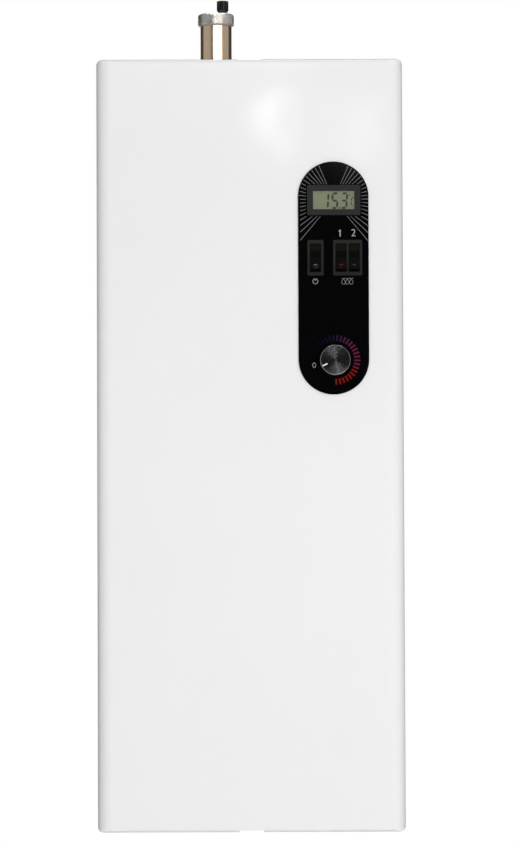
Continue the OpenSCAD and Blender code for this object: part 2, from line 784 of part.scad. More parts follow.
module pump_motor() {
    color("darkslategray") {
        difference() {
            union() {
                on_pump(motor_back_y) cylinder(r = motor_r, h = motor_l);
                on_pump(motor_back_y) at_bolts() cylinder(r = lug_r, h = lug_l);
                on_pump(motor_back_y) for (a = [45 : 90 : 315]) rotate([0, 0, a])
                    translate([motor_r - motor_wall, -lug_r, 0])
                        cube([lug_at_r - motor_r + motor_wall, 2 * lug_r, lug_l]);
            }
            difference() {
                on_pump(motor_back_y + cut)
                    cylinder(r = motor_r - motor_wall, h = motor_l - end_wall + cut);
                on_pump(motor_front_y + end_wall + bearing_l) cylinder(r = bearing_r, h = bearing_l + cut);
            }
            on_pump(motor_front_y + end_wall + bearing_l + cut)
                cylinder(r = shaft_r + run_fit, h = bearing_l + end_wall);
            on_pump(motor_front_y + vent_screw_in)
                cylinder(r = vent_screw_r + run_fit, h = vent_screw_in + cut);
            on_pump(motor_back_y + cut) at_bolts() cylinder(r = bolt_r + run_fit, h = lug_l + 2 * cut);
        }
        difference() {
            union() {
                on_pump(motor_back_y) cylinder(r = motor_r - motor_wall - run_fit, h = shield_t);
                on_pump(motor_back_y + spigot_l) cylinder(r = chamber_r - run_fit, h = spigot_l + cut);
            }
            on_pump(motor_back_y + spigot_l + cut)
                cylinder(r = shaft_r + run_fit, h = spigot_l + shield_t + 2 * cut);
        }
    }
}

module pump_stator() {
    color("peru") on_pump(motor_back_y - rotor_in)
        ring_tube(motor_r - motor_wall - run_fit, rotor_r + rotor_gap, rotor_l);
}

module pump_rotor() {
    impeller_y = motor_back_y + impeller_in + impeller_t;
    shaft_end_y = motor_front_y + end_wall + end_gap;
    color("silver") {
        on_pump(impeller_y) cylinder(r = shaft_r, h = impeller_y - shaft_end_y);
        on_pump(impeller_y) cylinder(r = impeller_r, h = impeller_t / 4);
        on_pump(impeller_y - 3 * impeller_t / 4) cylinder(r = impeller_r, h = impeller_t / 4);
        on_pump(impeller_y - impeller_t / 4) for (a = [0 : 60 : 300]) rotate([0, 0, a])
            translate([shaft_r - run_fit, -vane_t / 2, 0])
                cube([impeller_r - shaft_r - vane_t, vane_t, impeller_t / 2]);
        on_pump(motor_back_y - rotor_in) cylinder(r = rotor_r, h = rotor_l);
    }
}

module pump_bolts() {
    color("silver") {
        on_pump(motor_back_y - lug_l + bolt_in) at_bolts() cylinder(r = bolt_r, h = bolt_in);
        on_pump(motor_back_y - lug_l) at_bolts() difference() {
            cylinder(r = bolt_head_r, h = bolt_head_h);
            translate([0, 0, bolt_head_h / 2]) hex_bar(bolt_head_h, bolt_head_h);
        }
        on_pump(motor_front_y + vent_screw_in - run_fit) cylinder(r = vent_screw_r, h = vent_screw_in);
        on_pump(motor_front_y) difference() {
            cylinder(r = vent_screw_r + vent_screw_lip, h = vent_screw_lip);
            translate([-vent_screw_r, -slot_w / 2, vent_screw_lip / 2])
                cube([2 * vent_screw_r, slot_w, vent_screw_lip]);
        }
    }
}

box_w = 50;
box_d = 48;
box_h = 34;
box_sink = 9;
box_wall = 2;
box_front_in = 8;
speed_knob_r = 9;
speed_knob_h = 5.5;
speed_pin_r = 3;
wire_hole_r = 4;

module pump_terminal_box() {
    bottom_z = pump_z + motor_r - box_sink;
    box_front_y = motor_front_y + box_front_in;
    color("black") difference() {
        translate([pump_x - box_w / 2, box_front_y, bottom_z]) cube([box_w, box_d, box_h + box_sink]);
        on_pump(motor_back_y) cylinder(r = motor_r + run_fit, h = motor_l);
        difference() {
            translate([pump_x - box_w / 2 + box_wall, box_front_y + 2 * box_wall, bottom_z - cut])
                cube([box_w - 2 * box_wall, box_d - 3 * box_wall, box_h + box_sink - box_wall + cut]);
            on_pump(motor_back_y) cylinder(r = motor_r + box_wall, h = motor_l);
        }
        to_front(pump_x, box_front_y + 2 * box_wall + cut, pump_z + motor_r + box_h / 2)
            cylinder(r = speed_pin_r + run_fit, h = 2 * box_wall + 2 * cut);
        to_right(pump_x - box_w / 2 - cut, box_front_y + box_d / 2, pump_z + motor_r + box_h / 2)
            cylinder(r = wire_hole_r, h = box_wall + 2 * cut);
    }
}

module pump_speed_knob() {
    box_front_y = motor_front_y + box_front_in;
    color("red") {
        to_front(pump_x, box_front_y - fit, pump_z + motor_r + box_h / 2) difference() {
            cylinder(r = speed_knob_r, h = speed_knob_h);
            translate([-slot_w / 2, 0, speed_knob_h - slot_w / 2]) cube([slot_w, speed_knob_r, slot_w]);
        }
        to_front(pump_x, box_front_y + 2 * box_wall, pump_z + motor_r + box_h / 2)
            cylinder(r = speed_pin_r, h = 2 * box_wall + fit + cut);
    }
}

vent_tail_l = 12;
vent_tail_bore_r = 4;
vent_wall = 1.9;
vent_floor = 3;
ring_skirt = 7;
ring_top_z = ring_base_z + ring_h;
ring_roof_z = ring_base_z + ring_skirt;
knurl_count = 36;
knurl_w = 1;
knurl_h = 0.35;
ring_edge = 1;
nozzle_x = 6;
nozzle_r = 3;
nozzle_h = 6;
nozzle_bore_r = 0.9;
cap_wall = 0.7;
cap_lift = 1.6;
cap_neck = 2;
cap_grooves = 12;
cap_groove_r = 0.6;
washer_t = 1;
float_gap = 1.3;
float_h = 20;
float_bore_r = 5;
float_foot = 2;
float_travel = 3;
float_post_r = 1.5;
lever_arm = 10;
lever_over = 2.5;
lever_tilt = 17.2;
lever_pin_x = -5;
lever_pin_r = 0.8;
lever_w = 3;
lever_t = 1.6;
lever_drop = 4;
ear_t = 1.2;
ear_w = 4;
pad_x = 11;
pad_r = 1.6;
lever_z = ring_roof_z - lever_drop;
float_z = vent_base_z + vent_floor + float_foot;

module at_vent(z) {
    translate([vessel_x, vessel_y, z]) children();
}

module vent_body() {
    cavity_r = vent_r - vent_wall;
    color("tan") difference() {
        union() {
            at_vent(vent_base_z - vent_hex_h) hex_bar(vent_hex_af, vent_hex_h);
            at_vent(vent_base_z - vent_hex_h - vent_tail_l)
                cylinder(r = vent_tail_r, h = vent_tail_l + cut);
            at_vent(vent_base_z - cut) cylinder(r = vent_r, h = ring_roof_z - vent_base_z + cut);
        }
        at_vent(vent_base_z + vent_floor) cylinder(r = cavity_r, h = ring_roof_z - vent_base_z);
        at_vent(vent_base_z - vent_hex_h - vent_tail_l - cut)
            cylinder(r = vent_tail_bore_r, h = vent_body_h);
    }
}

module vent_ring() {
    color("tan") difference() {
        union() {
            at_vent(ring_base_z) difference() {
                cylinder(r = ring_r, h = ring_h);
                translate([0, 0, -cut]) cylinder(r = vent_r + run_fit, h = ring_skirt + cut);
                for (i = [0 : knurl_count - 1]) rotate([0, 0, 360 * i / knurl_count])
                    translate([ring_r - knurl_h, -knurl_w / 2, ring_edge])
                    cube([2 * knurl_h, knurl_w, ring_h - 2 * ring_edge]);
            }
            at_vent(ring_top_z - cut) translate([nozzle_x, 0, 0])
                cylinder(r = nozzle_r, h = nozzle_h + cut);
            at_vent(lever_z - ear_w / 2) for (y = [-lever_w / 2 - fit - ear_t, lever_w / 2 + fit])
                translate([lever_pin_x - ear_w / 2, y, 0])
                    cube([ear_w, ear_t, lever_drop + ear_w / 2 + cut]);
        }
        at_vent(ring_roof_z - cut) translate([nozzle_x, 0, 0])
            cylinder(r = nozzle_bore_r, h = ring_h + nozzle_h);
        to_front(vessel_x + lever_pin_x, vessel_y + lever_w + 2 * ear_t, lever_z)
            cylinder(r = lever_pin_r + run_fit, h = 2 * lever_w + 4 * ear_t);
    }
}

module vent_float() {
    post_l = lever_z - lever_t / 2 - fit - float_travel - float_post_r * tan(lever_tilt)
        - float_z - float_h;
    color("ivory") {
        at_vent(float_z) difference() {
            cylinder(r = vent_r - vent_wall - float_gap, h = float_h);
            translate([0, 0, -cut]) cylinder(r = float_bore_r, h = float_h - float_foot + cut);
        }
        at_vent(float_z - float_foot + fit) for (a = [0 : 120 : 240]) rotate([0, 0, a])
            translate([vent_r - vent_wall - float_gap - float_post_r, 0, 0])
            cylinder(r = float_post_r, h = float_foot + cut);
        at_vent(float_z + float_h - cut) translate([lever_pin_x + lever_arm, 0, 0])
            cylinder(r = float_post_r,
            h = post_l + cut);
    }
}

module vent_lever() {
    pin_l = lever_w + 2 * fit + 2 * ear_t;
    color("silver") at_vent(lever_z) translate([lever_pin_x, 0, 0]) {
        rotate([0, lever_tilt, 0]) {
            translate([0, -lever_w / 2, -lever_t / 2]) cube([lever_arm + lever_over, lever_w, lever_t]);
            rotate([90, 0, 0]) translate([0, 0, -lever_w / 2]) cylinder(r = ear_w / 2, h = lever_w);
            translate([pad_x, 0, 0]) cylinder(r = pad_r, h = lever_drop - run_fit);
        }
        rotate([90, 0, 0]) translate([0, 0, -pin_l / 2]) cylinder(r = lever_pin_r, h = pin_l);
    }
}

module vent_cap_washer() {
    color("dimgray") at_vent(ring_top_z + nozzle_h + run_fit) translate([nozzle_x, 0, 0])
        cylinder(r = nozzle_r, h = washer_t);
}

module vent_cap() {
    color("black") at_vent(ring_top_z + cap_lift) translate([nozzle_x, 0, 0]) difference() {
        union() {
            cylinder(r1 = nozzle_r + cap_wall, r2 = cap_r, h = cap_neck);
            translate([0, 0, cap_neck]) cylinder(r = cap_r, h = cap_h - cap_lift - cap_neck);
        }
        translate([0, 0, -cut]) cylinder(r = nozzle_r + run_fit, h =
            nozzle_h + washer_t + 2 * run_fit - cap_lift + cut);
        for (i = [0 : cap_grooves - 1]) rotate([0, 0, 360 * i / cap_grooves])
            translate([cap_r + cap_groove_r / 3, 0, cap_neck + fit])
            cylinder(r = cap_groove_r, h = cap_h, $fn = 24);
    }
}

relief_bend = 14;
relief_lap = 6;
relief_body_af = 30;
relief_body_h = 35;
relief_socket_h = 8;
relief_seat_h = 6;
relief_seat_r = 5;
relief_chamber_r = 9;
relief_disc_r = 7;
relief_disc_h = 4;
relief_stem_r = 2.5;
bonnet_r = 12;
bonnet_h = 12;
relief_knob_r = 15;
relief_knob_h = 16;
relief_top_h = 2;
relief_top_r = 5;
relief_grips = 8;
relief_grip_r = 3;
outlet_down = 13;
outlet_r = 4.4;
outlet_in_r = 3.4;
spring_turns = 5;
spring_r = 5.2;
spring_wire_r = 0.8;
hose_bore_r = 4.5;
hose_bend = 12;
hose_lap = 9;
tube_top_z = relief_z + relief_bend + relief_bend;
relief_base_z = tube_top_z - relief_socket_h;
relief_seat_z = tube_top_z + relief_seat_h;
bonnet_z = relief_base_z + relief_body_h;
relief_knob_z = bonnet_z + bonnet_h + fit;
outlet_z = bonnet_z - outlet_down;
outlet_l = vessel_y - hose_y - hose_bend;

module at_relief(z) {
    translate([relief_x, vessel_y, z]) children();
}

module relief_elbow() {
    bend_x = relief_x + relief_bend;
    color("goldenrod") {
        to_right(bend_x, vessel_y, relief_z) difference() {
            union() {
                cylinder(r = relief_tube_r, h = stub_end_l - bend_x);
                translate([0, 0, stub_end_l - bend_x - relief_lap])
                    hex_bar(relief_collar_af, 2 * relief_lap);
            }
            translate([0, 0, -cut]) cylinder(r = relief_bore_r, h = stub_end_l - bend_x + 2 * cut);
            translate([0, 0, stub_end_l - bend_x])
                cylinder(r = relief_tube_r + run_fit, h = relief_lap + cut);
        }
        translate([bend_x, vessel_y, relief_z]) rotate([90, 0, 180])
            bent_quarter(relief_bend, relief_tube_r, relief_bore_r);
        at_relief(relief_z + relief_bend)
            ring_tube(relief_tube_r, relief_bore_r, tube_top_z - relief_z - relief_bend);
    }
}

module relief_body() {
    color("goldenrod") {
        difference() {
            union() {
                at_relief(relief_base_z) hex_bar(relief_body_af, relief_body_h);
                to_front(relief_x, vessel_y, outlet_z) cylinder(r = outlet_r, h = outlet_l);
            }
            at_relief(relief_base_z - cut) cylinder(r = relief_tube_r + run_fit, h = relief_socket_h + cut);
            at_relief(relief_base_z) cylinder(r = relief_seat_r, h = relief_body_h);
            at_relief(relief_seat_z) cylinder(r = relief_chamber_r, h = relief_body_h);
            to_front(relief_x, vessel_y, outlet_z) cylinder(r = outlet_in_r, h = outlet_l + cut);
        }
        at_relief(bonnet_z) ring_tube(bonnet_r, relief_stem_r + run_fit, bonnet_h);
    }
}

module relief_spindle() {
    color("silver") {
        at_relief(relief_seat_z + run_fit) cylinder(r = relief_disc_r, h = relief_disc_h);
        at_relief(relief_seat_z + run_fit)
            cylinder(r = relief_stem_r, h = relief_knob_z + relief_knob_h - relief_seat_z);
        at_relief(relief_knob_z + relief_knob_h - relief_top_h + run_fit)
            cylinder(r = relief_top_r, h = relief_top_h);
    }
}

module relief_spring() {
    low_z = relief_seat_z + run_fit + relief_disc_h + spring_wire_r + run_fit;
    high_z = bonnet_z - spring_wire_r - run_fit;
    steps = spring_turns * 12;
    color("silver") at_relief(0) sweep([for (i = [0 : steps])
        [spring_r * cos(30 * i), spring_r * sin(30 * i), low_z + (high_z - low_z) * i / steps]],
            spring_wire_r, 6);
}

module relief_knob() {
    color("red") at_relief(relief_knob_z) difference() {
        cylinder(r = relief_knob_r, h = relief_knob_h);
        translate([0, 0, -cut]) cylinder(r = relief_stem_r + run_fit, h = relief_knob_h + 2 * cut);
        translate([0, 0, relief_knob_h - relief_top_h])
            cylinder(r = relief_top_r + fit, h = relief_top_h + cut);
        for (i = [0 : relief_grips - 1]) rotate([0, 0, 360 * i / relief_grips])
            translate([relief_knob_r + relief_grip_r / 2, 0, -cut])
            cylinder(r = relief_grip_r, h = relief_knob_h + 2 * cut);
    }
}

module discharge_hose() {
    bend_y = hose_y + hose_bend;
    color("whitesmoke") {
        to_front(relief_x, bend_y + hose_lap, outlet_z) ring_tube(hose_r, hose_bore_r, hose_lap);
        translate([relief_x, bend_y, outlet_z]) rotate([-90, 0, -90])
            bent_quarter(hose_bend, hose_r, hose_bore_r);
        translate([relief_x, hose_y, socket_z])
            ring_tube(hose_r, hose_bore_r, outlet_z - hose_bend - socket_z);
    }
}

rocker_w = 9.2;
rocker_r = 12.2;
rocker_mid = 2.2;
rocker_back = 5;
rocker_in = 1;
trunnion_r = 1;
trunnion_l = 0.7;
lamp_r = 2.2;
lamp_out = 8.6;
lamp_h = 2.6;
lamp_floor = 1.2;
blade_w = 6.3;
blade_t = 0.8;
blade_l = 8;
pivot_y = panel_front_y + rocker_in;

// Frame of a switch with a well for each rocker, given by its place across the frame
module switch_frame(x, rim_w, body_w, wells) {
    well_w = rocker_w + 2 * fit;
    well_l = 2 * rocker_r + 2 * fit;
    color("dimgray") {
        difference() {
            union() {
                to_front(x, panel_front_y, switch_z) linear_extrude(frame_rim)
                    soft_rect(rim_w, frame_l, rim_corner_r);
                box_behind(x, panel_front_y, switch_z, body_w, frame_body_l, frame_d);
                for (w = wells) for (s = [-1, 1]) box_behind(x + w, panel_front_y + frame_d - cut,
                    switch_z + s * blade_w, blade_w, blade_t, blade_l + cut);
            }
            for (w = wells) box_behind(x + w, panel_front_y - frame_rim - cut, switch_z, well_w, well_l,
                frame_d + cut);
            to_right(x - body_w / 2 - cut, pivot_y, switch_z)
                cylinder(r = trunnion_r + run_fit, h = body_w + 2 * cut);
        }
    }
}

// A rocker at rest, with its upper end pressed in
module rocker(x) {
    rise = rocker_r * tan(rocker_tilt);
    color("black") to_front(x, pivot_y, switch_z) rotate([-rocker_tilt, 0, 0]) difference() {
        union() {
            intersection() {
                rotate([90, 0, 90]) translate([0, 0, -rocker_w / 2]) linear_extrude(rocker_w) polygon([
                    [-rocker_r, -rocker_back], [rocker_r, -rocker_back], [rocker_r, rocker_mid + rise],
                    [0, rocker_mid], [-rocker_r, rocker_mid + rise]]);
                rotate([0, 90, 0]) translate([0, 0, -rocker_w / 2]) cylinder(r = rocker_r, h = rocker_w);
            }
            rotate([0, 90, 0]) translate([0, 0, -rocker_w / 2 - fit - trunnion_l])
                cylinder(r = trunnion_r, h = rocker_w + 2 * fit + 2 * trunnion_l);
        }
        translate([0, -lamp_out, lamp_floor]) cylinder(r = lamp_r + run_fit, h = rocker_r);
    }
}

module rocker_lamp(x) {
    color("red") to_front(x, pivot_y, switch_z) rotate([-rocker_tilt, 0, 0])
        translate([0, -lamp_out, lamp_floor]) cylinder(r = lamp_r, h = lamp_h);
}

module power_switch_frame() {
    switch_frame(power_x, frame_w, frame_body_w, [0]);
}

module power_rocker() {
    rocker(power_x);
}

module power_lamp() {
    rocker_lamp(power_x);
}

module stage_switch_frame() {
    switch_frame(stage_x, stage_frame_w, stage_body_w, [-rocker_pitch / 2, rocker_pitch / 2]);
}

module stage_rocker_1() {
    rocker(stage_x - rocker_pitch / 2);
}

module stage_lamp_1() {
    rocker_lamp(stage_x - rocker_pitch / 2);
}

module stage_rocker_2() {
    rocker(stage_x + rocker_pitch / 2);
}

module stage_lamp_2() {
    rocker_lamp(stage_x + rocker_pitch / 2);
}

thermostat_w = 44;
thermostat_h = 33;
thermostat_d = 35;
bush_r = 4.8;
bush_l = 2.8;
knob_shaft_r = 3;
shaft_flat = 1;
shaft_in = 14;
knob_gap = 0.4;
knob_roof = 3;
knob_face_r = 11.6;
knob_face_in = 0.8;
knob_chamfer = 0.8;
pointer_angle = 205.5;
pointer_w = 1.1;
pointer_in = 7.8;
pointer_depth = 0.4;
capillary_r = 1;
knob_back_y = panel_front_y - knob_gap;
knob_front_y = knob_back_y - knob_h;

module thermostat() {
    color("gray") difference() {
        union() {
            box_behind(knob_x, inner_front_y, knob_z, thermostat_w, thermostat_h, thermostat_d);
            to_front(knob_x, inner_front_y + cut, knob_z) cylinder(r = bush_r, h = bush_l + cut);
        }
        to_front(knob_x, inner_front_y + shaft_in, knob_z)
            cylinder(r = knob_shaft_r + run_fit, h = shaft_in + bush_l + cut);
    }
}

module knob_shaft_form(r) {
    shaft_l = inner_front_y + shaft_in - run_fit - knob_front_y - knob_roof;
    difference() {
        to_front(knob_x, inner_front_y + shaft_in - run_fit, knob_z) cylinder(r = r, h = shaft_l);
        translate([knob_x - r, knob_front_y, knob_z + r - shaft_flat])
            cube([2 * r, knob_h - knob_gap, r]);
    }
}

module thermostat_shaft() {
    color("silver") knob_shaft_form(knob_shaft_r);
}

module thermostat_knob() {
    color("black") difference() {
        to_front(knob_x, knob_back_y, knob_z) difference() {
            union() {
                cylinder(r = knob_r, h = knob_h - knob_chamfer);
                translate([0, 0, knob_h - knob_chamfer])
                    cylinder(r1 = knob_r, r2 = knob_r - knob_chamfer, h = knob_chamfer);
            }
            translate([0, 0, knob_h - knob_face_in])
                cylinder(r = knob_face_r + run_fit, h = knob_face_in + cut);
            rotate([0, 0, pointer_angle]) translate([knob_face_r, -pointer_w / 2, knob_h - pointer_depth])
                cube([knob_r, pointer_w, knob_h]);
        }
        knob_shaft_form(knob_shaft_r + run_fit);
    }
}

module knob_cap() {
    color("gray") to_front(knob_x, knob_front_y + knob_face_in, knob_z) difference() {
        cylinder(r = knob_face_r, h = knob_face_in);
        rotate([0, 0, pointer_angle]) translate([pointer_in, -pointer_w / 2, knob_face_in - pointer_depth])
            cube([knob_r, pointer_w, knob_h]);
    }
}

bulb_r = 3;
bulb_l = 30;
capillary_z = knob_z + thermostat_h / 2;
capillary_points = [[21.5, -52, -137], [34, -52, -137], [46, -82, -140], [58, -110, -156],
    [66, -128, capillary_z + 15], [66, -134, capillary_z + 7], [66, -134, capillary_z]];

module sensor_bulb() {
    color("peru") {
        to_right(pocket_x + pocket_end + run_fit, vessel_y, pocket_z) cylinder(r = bulb_r, h = bulb_l);
        wire(capillary_points, capillary_r);
    }
}

limiter_r = 8.5;
limiter_h = 10;
limiter_out = 25;
limiter_button_r = 2.5;
limiter_button_h = 7;
limiter_bore = 6;
limiter_travel = 1.5;
blade_in = 1;

module at_limiter(z) {
    translate([vessel_x, vessel_y - limiter_out, z]) children();
}

module limiter() {
    color("black") difference() {
        union() {
            at_limiter(vessel_top) cylinder(r = limiter_r, h = limiter_h);
            for (s = [-1, 1]) at_limiter(vessel_top + limiter_h / 2 - blade_t / 2)
                translate([s * (limiter_r + blade_l / 2 - blade_in) - blade_l / 2, -blade_w / 2, 0])
                    cube([blade_l, blade_w, blade_t]);
        }
        at_limiter(vessel_top + limiter_h - limiter_bore)
            cylinder(r = limiter_button_r + run_fit, h = limiter_bore + cut);
    }
}

module limiter_button() {
    color("red") at_limiter(vessel_top + limiter_h - limiter_bore + limiter_travel + fit)
        cylinder(r = limiter_button_r, h = limiter_button_h);
}

tray_x = 22;
tray_w = 106;
tray_up = 275;
tray_h = 90;
tray_t = 1.5;
tray_y = -80;
tray_foot = 14;
tray_z = case_bottom + tray_up;
rail_h = 35;
rail_d = 7.5;
rail_t = 1;
rail_lip = 5;
rail_in = 3;
rail_z = tray_z + tray_h / 2;
device_y = tray_y - rail_d;

module electrical_bracket() {
    leg_d = -tray_y - chassis_t;
    color("gainsboro") {
        translate([tray_x, tray_y, tray_z]) cube([tray_w, tray_t, tray_h]);
        for (x = [tray_x, tray_x + tray_w - tray_t]) translate([x, tray_y, tray_z])
            cube([tray_t, leg_d, tray_h]);
        for (x = [tray_x, tray_x + tray_w - tray_foot]) translate([x, -chassis_t - tray_t, tray_z])
            cube([tray_foot, tray_t, tray_h]);
    }
    color("silver") translate([tray_x + rail_in, 0, rail_z]) {
        translate([0, tray_y - rail_t, -rail_h / 2 + rail_lip])
            cube([tray_w - 2 * rail_in, rail_t, rail_h - 2 * rail_lip]);
        for (s = [-1, 1]) {
            translate([0, tray_y - rail_d, s * (rail_h / 2 - rail_lip) - rail_t / 2])
                cube([tray_w - 2 * rail_in, rail_d, rail_t]);
            translate([0, device_y, s * (rail_h - rail_lip) / 2 - rail_lip / 2])
                cube([tray_w - 2 * rail_in, rail_t, rail_lip]);
        }
    }
}

contactor_w = 35;
contactor_h = 84;
contactor_mid_h = 45;
contactor_d = 40;
contactor_front_d = 55;
contactor_x = 27;
contactor_gap = 1;
screw_seat_r = 3.2;
screw_seat_d = 5;
screw_seats = 3;
slide_w = 8;
slide_d = 0.3;

module contactor_form(x) {
    difference() {
        union() {
            translate([x, device_y - contactor_d, rail_z - contactor_h / 2])
                cube([contactor_w, contactor_d, contactor_h]);
            translate([x, device_y - contactor_front_d, rail_z - contactor_mid_h / 2])
                cube([contactor_w, contactor_front_d, contactor_mid_h]);
        }
        for (i = [0 : screw_seats - 1]) for (s = [-1, 1])
            to_front(x + contactor_w * (i + 0.5) / screw_seats, device_y - contactor_d + screw_seat_d,
                rail_z + s * (contactor_h + contactor_mid_h) / 4)
                    cylinder(r = screw_seat_r, h = screw_seat_d + cut);
        translate([x + (contactor_w - slide_w) / 2, device_y - contactor_front_d - cut, rail_z - slide_w])
            cube([slide_w, cut + slide_d, 2 * slide_w]);
    }
}

module contactors() {
    color("lightgray") for (i = [0, 1]) contactor_form(contactor_x + i * (contactor_w + contactor_gap));
}

block_w = 24;
block_h = 52;
block_d = 42;
block_ways = 3;
way_r = 3;
way_d = 8;

module terminal_block() {
    block_x = contactor_x + 2 * (contactor_w + contactor_gap);
    color("wheat") difference() {
        translate([block_x, device_y - block_d, rail_z - block_h / 2]) cube([block_w, block_d, block_h]);
        for (i = [0 : block_ways - 1]) for (s = [-1, 1])
            to_front(block_x + block_w * (i + 0.5) / block_ways, device_y - block_d + way_d,
                rail_z + s * block_h / 3)
                cylinder(r = way_r, h = way_d + cut);
    }
}

gland_hex_af = 30;
gland_hex_h = 6;
gland_cap_r = 13.5;
gland_cap_h = 13;
gland_nut_h = 5;
gland_bore_r = 8.5;
gland_over = 9;
seal_r = 7;
seal_h = 12;
seal_up = 1;

module at_gland(z) {
    translate([gland_x, gland_y, z]) children();
}

module cable_gland() {
    color("gray") {
        difference() {
            union() {
                at_gland(bay_roof - gland_hex_h) hex_bar(gland_hex_af, gland_hex_h);
                at_gland(bay_roof - gland_hex_h - gland_cap_h) cylinder(r = gland_cap_r, h = gland_cap_h);
                at_gland(bay_roof - cut) cylinder(r = gland_thread_r, h = chassis_t + gland_over + cut);
            }
            at_gland(case_bottom) cylinder(r = gland_bore_r, h = bay_h + gland_over + cut);
        }
        at_gland(bay_top) difference() {
            hex_bar(gland_hex_af, gland_nut_h);
            translate([0, 0, -cut]) cylinder(r = gland_thread_r + run_fit, h = gland_nut_h + 2 * cut);
        }
    }
}

module gland_seal() {
    color("black") at_gland(bay_roof - gland_hex_h - gland_cap_h + seal_up)
        ring_tube(gland_bore_r - run_fit, seal_r, seal_h);
}

// Routes of the inner wires, with the ends at the pieces that they join
wire_r = 1.4;
power_wire_points = [
    [[44, -120, -339], [44, -120, -352], [26, -118, -372], [8, -108, -400], [-4, -98, -440], [-10, -82,
        -468],
        [-14.4, -64, -474], [-14.4, -61, -466], [-14.4, -61, -458]],
    [[33, -120, -339], [33, -120, -352], [16, -122, -376], [-6, -114, -406], [-22, -102, -440], [-36,
        -84, -472],
        [-45.6, -64, -478], [-45.6, -61, -468], [-45.6, -61, -458]],
    [[69, -120, -339], [69, -120, -350], [50, -118, -366], [28, -106, -384], [14, -92, -430], [2, -70,
        -474],
        [-16, -44, -484], [-30, -34, -474], [-30, -34, -458]],
    [[103, -118, -271], [103, -118, -252], [98, -118, -242], [88, -118, -242], [80, -118, -246], [80,
        -118, -255]],
    [[111, -112, -271], [111, -112, -248], [104, -112, -234], [60, -112, -232], [45, -112, -242], [45,
        -112, -255]]];
control_wire_points = [
    [[58, -127, -119.7], [58, -118, -119.7], [48, -104, -135], [40, -98, -180], [38, -98, -230], [33,
        -110, -246],
        [33, -110, -255]],
    [[92.3, -127, -119.7], [92.3, -118, -119.7], [104, -106, -136], [114, -100, -170], [118, -98, -220],
        [118, -100, -260], [118, -100, -271]],
    [[80.8, -127, -119.7], [80.8, -118, -119.7], [84, -104, -136], [88, -98, -170], [88, -98, -230], [90,
        -106, -246],
        [90, -106, -255]],
    [[62, -118.8, -210], [62, -110, -210], [58, -102, -222], [54, -102, -242], [54, -102, -255]],
    [[84, -143, -66], [84, -132, -66], [100, -116, -84], [118, -104, -120], [122, -92, -170], [122, -90,
        -230],
        [120.5, -92, -260], [120.5, -92, -271]],
    [[104, -108, -323], [104, -108, -346], [80, -100, -362], [56, -98, -374], [38, -106, -392], [34,
        -114, -402],
        [40, -116, -404], [49.5, -116, -404]],
    [[-14.5, -77, 13], [-8, -77, 13], [6, -94, 6], [22, -102, -20], [34, -104, -90], [30, -104, -180],
        [29, -100, -240], [29, -100, -255]],
    [[-45.5, -77, 13], [-52, -77, 13], [-60, -96, 8], [-46, -110, -16], [14, -114, -80], [20, -114, -180],
        [29, -119, -242], [29, -119, -255]]];

module wiring() {
    color("firebrick") for (route = power_wire_points) wire(route, wire_r, 2);
    color("ivory") for (route = control_wire_points) wire(route, wire_r, 2);
}

chassis();
front_cover();
cover_screws();
vent_grommet();
vessel();
vessel_jacket();
vessel_clamps();
element_head();
heating_rods();
rod_insulators();
rod_terminals();
return_pipe();
supply_pipe();
supply_tail();
union_nuts();
water_gaskets();
pump_body();
pump_motor();
pump_stator();
pump_rotor();
pump_bolts();
pump_terminal_box();
pump_speed_knob();
vent_body();
vent_ring();
vent_float();
vent_lever();
vent_cap_washer();
vent_cap();
relief_elbow();
relief_body();
relief_spindle();
relief_spring();
relief_knob();
discharge_hose();
control_panel();
display_case();
display_screen();
display_window();
power_switch_frame();
power_rocker();
power_lamp();
stage_switch_frame();
stage_rocker_1();
stage_lamp_1();
stage_rocker_2();
stage_lamp_2();
thermostat();
thermostat_shaft();
thermostat_knob();
knob_cap();
sensor_bulb();
limiter();
limiter_button();
electrical_bracket();
contactors();
terminal_block();
wiring();
cable_gland();
gland_seal();
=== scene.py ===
# %% [markdown]
# # Electric heating boiler, dressed for a photograph
# The boiler is a tall white steel box that hangs on a wall. A black control
# panel sits on its front and an air vent stands out of its top. The packed
# CAD model gives every piece its size and place. This lesson adds what CAD
# leaves out: bevels, printed marks, knurling, and a finish for every surface.
# It is cut into small cells, and each one can be read on its own.

# %% Load the frame
import json
import math

import bmesh
import bpy
from mathutils import Matrix, Vector


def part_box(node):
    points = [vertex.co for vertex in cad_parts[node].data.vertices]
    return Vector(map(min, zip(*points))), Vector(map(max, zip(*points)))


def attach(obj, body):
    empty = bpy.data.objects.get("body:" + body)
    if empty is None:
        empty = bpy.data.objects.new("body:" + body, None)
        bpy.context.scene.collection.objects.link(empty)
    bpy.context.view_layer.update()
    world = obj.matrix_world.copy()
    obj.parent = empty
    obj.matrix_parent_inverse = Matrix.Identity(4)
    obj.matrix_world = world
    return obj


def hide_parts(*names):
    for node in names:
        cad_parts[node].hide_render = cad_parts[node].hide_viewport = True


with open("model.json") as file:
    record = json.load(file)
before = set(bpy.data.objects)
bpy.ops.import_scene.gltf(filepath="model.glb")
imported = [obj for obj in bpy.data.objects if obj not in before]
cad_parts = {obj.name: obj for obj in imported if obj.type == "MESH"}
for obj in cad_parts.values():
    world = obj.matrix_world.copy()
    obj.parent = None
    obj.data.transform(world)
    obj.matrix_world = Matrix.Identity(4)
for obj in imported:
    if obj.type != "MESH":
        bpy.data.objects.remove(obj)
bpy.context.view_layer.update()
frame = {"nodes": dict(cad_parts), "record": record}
MM = 0.001

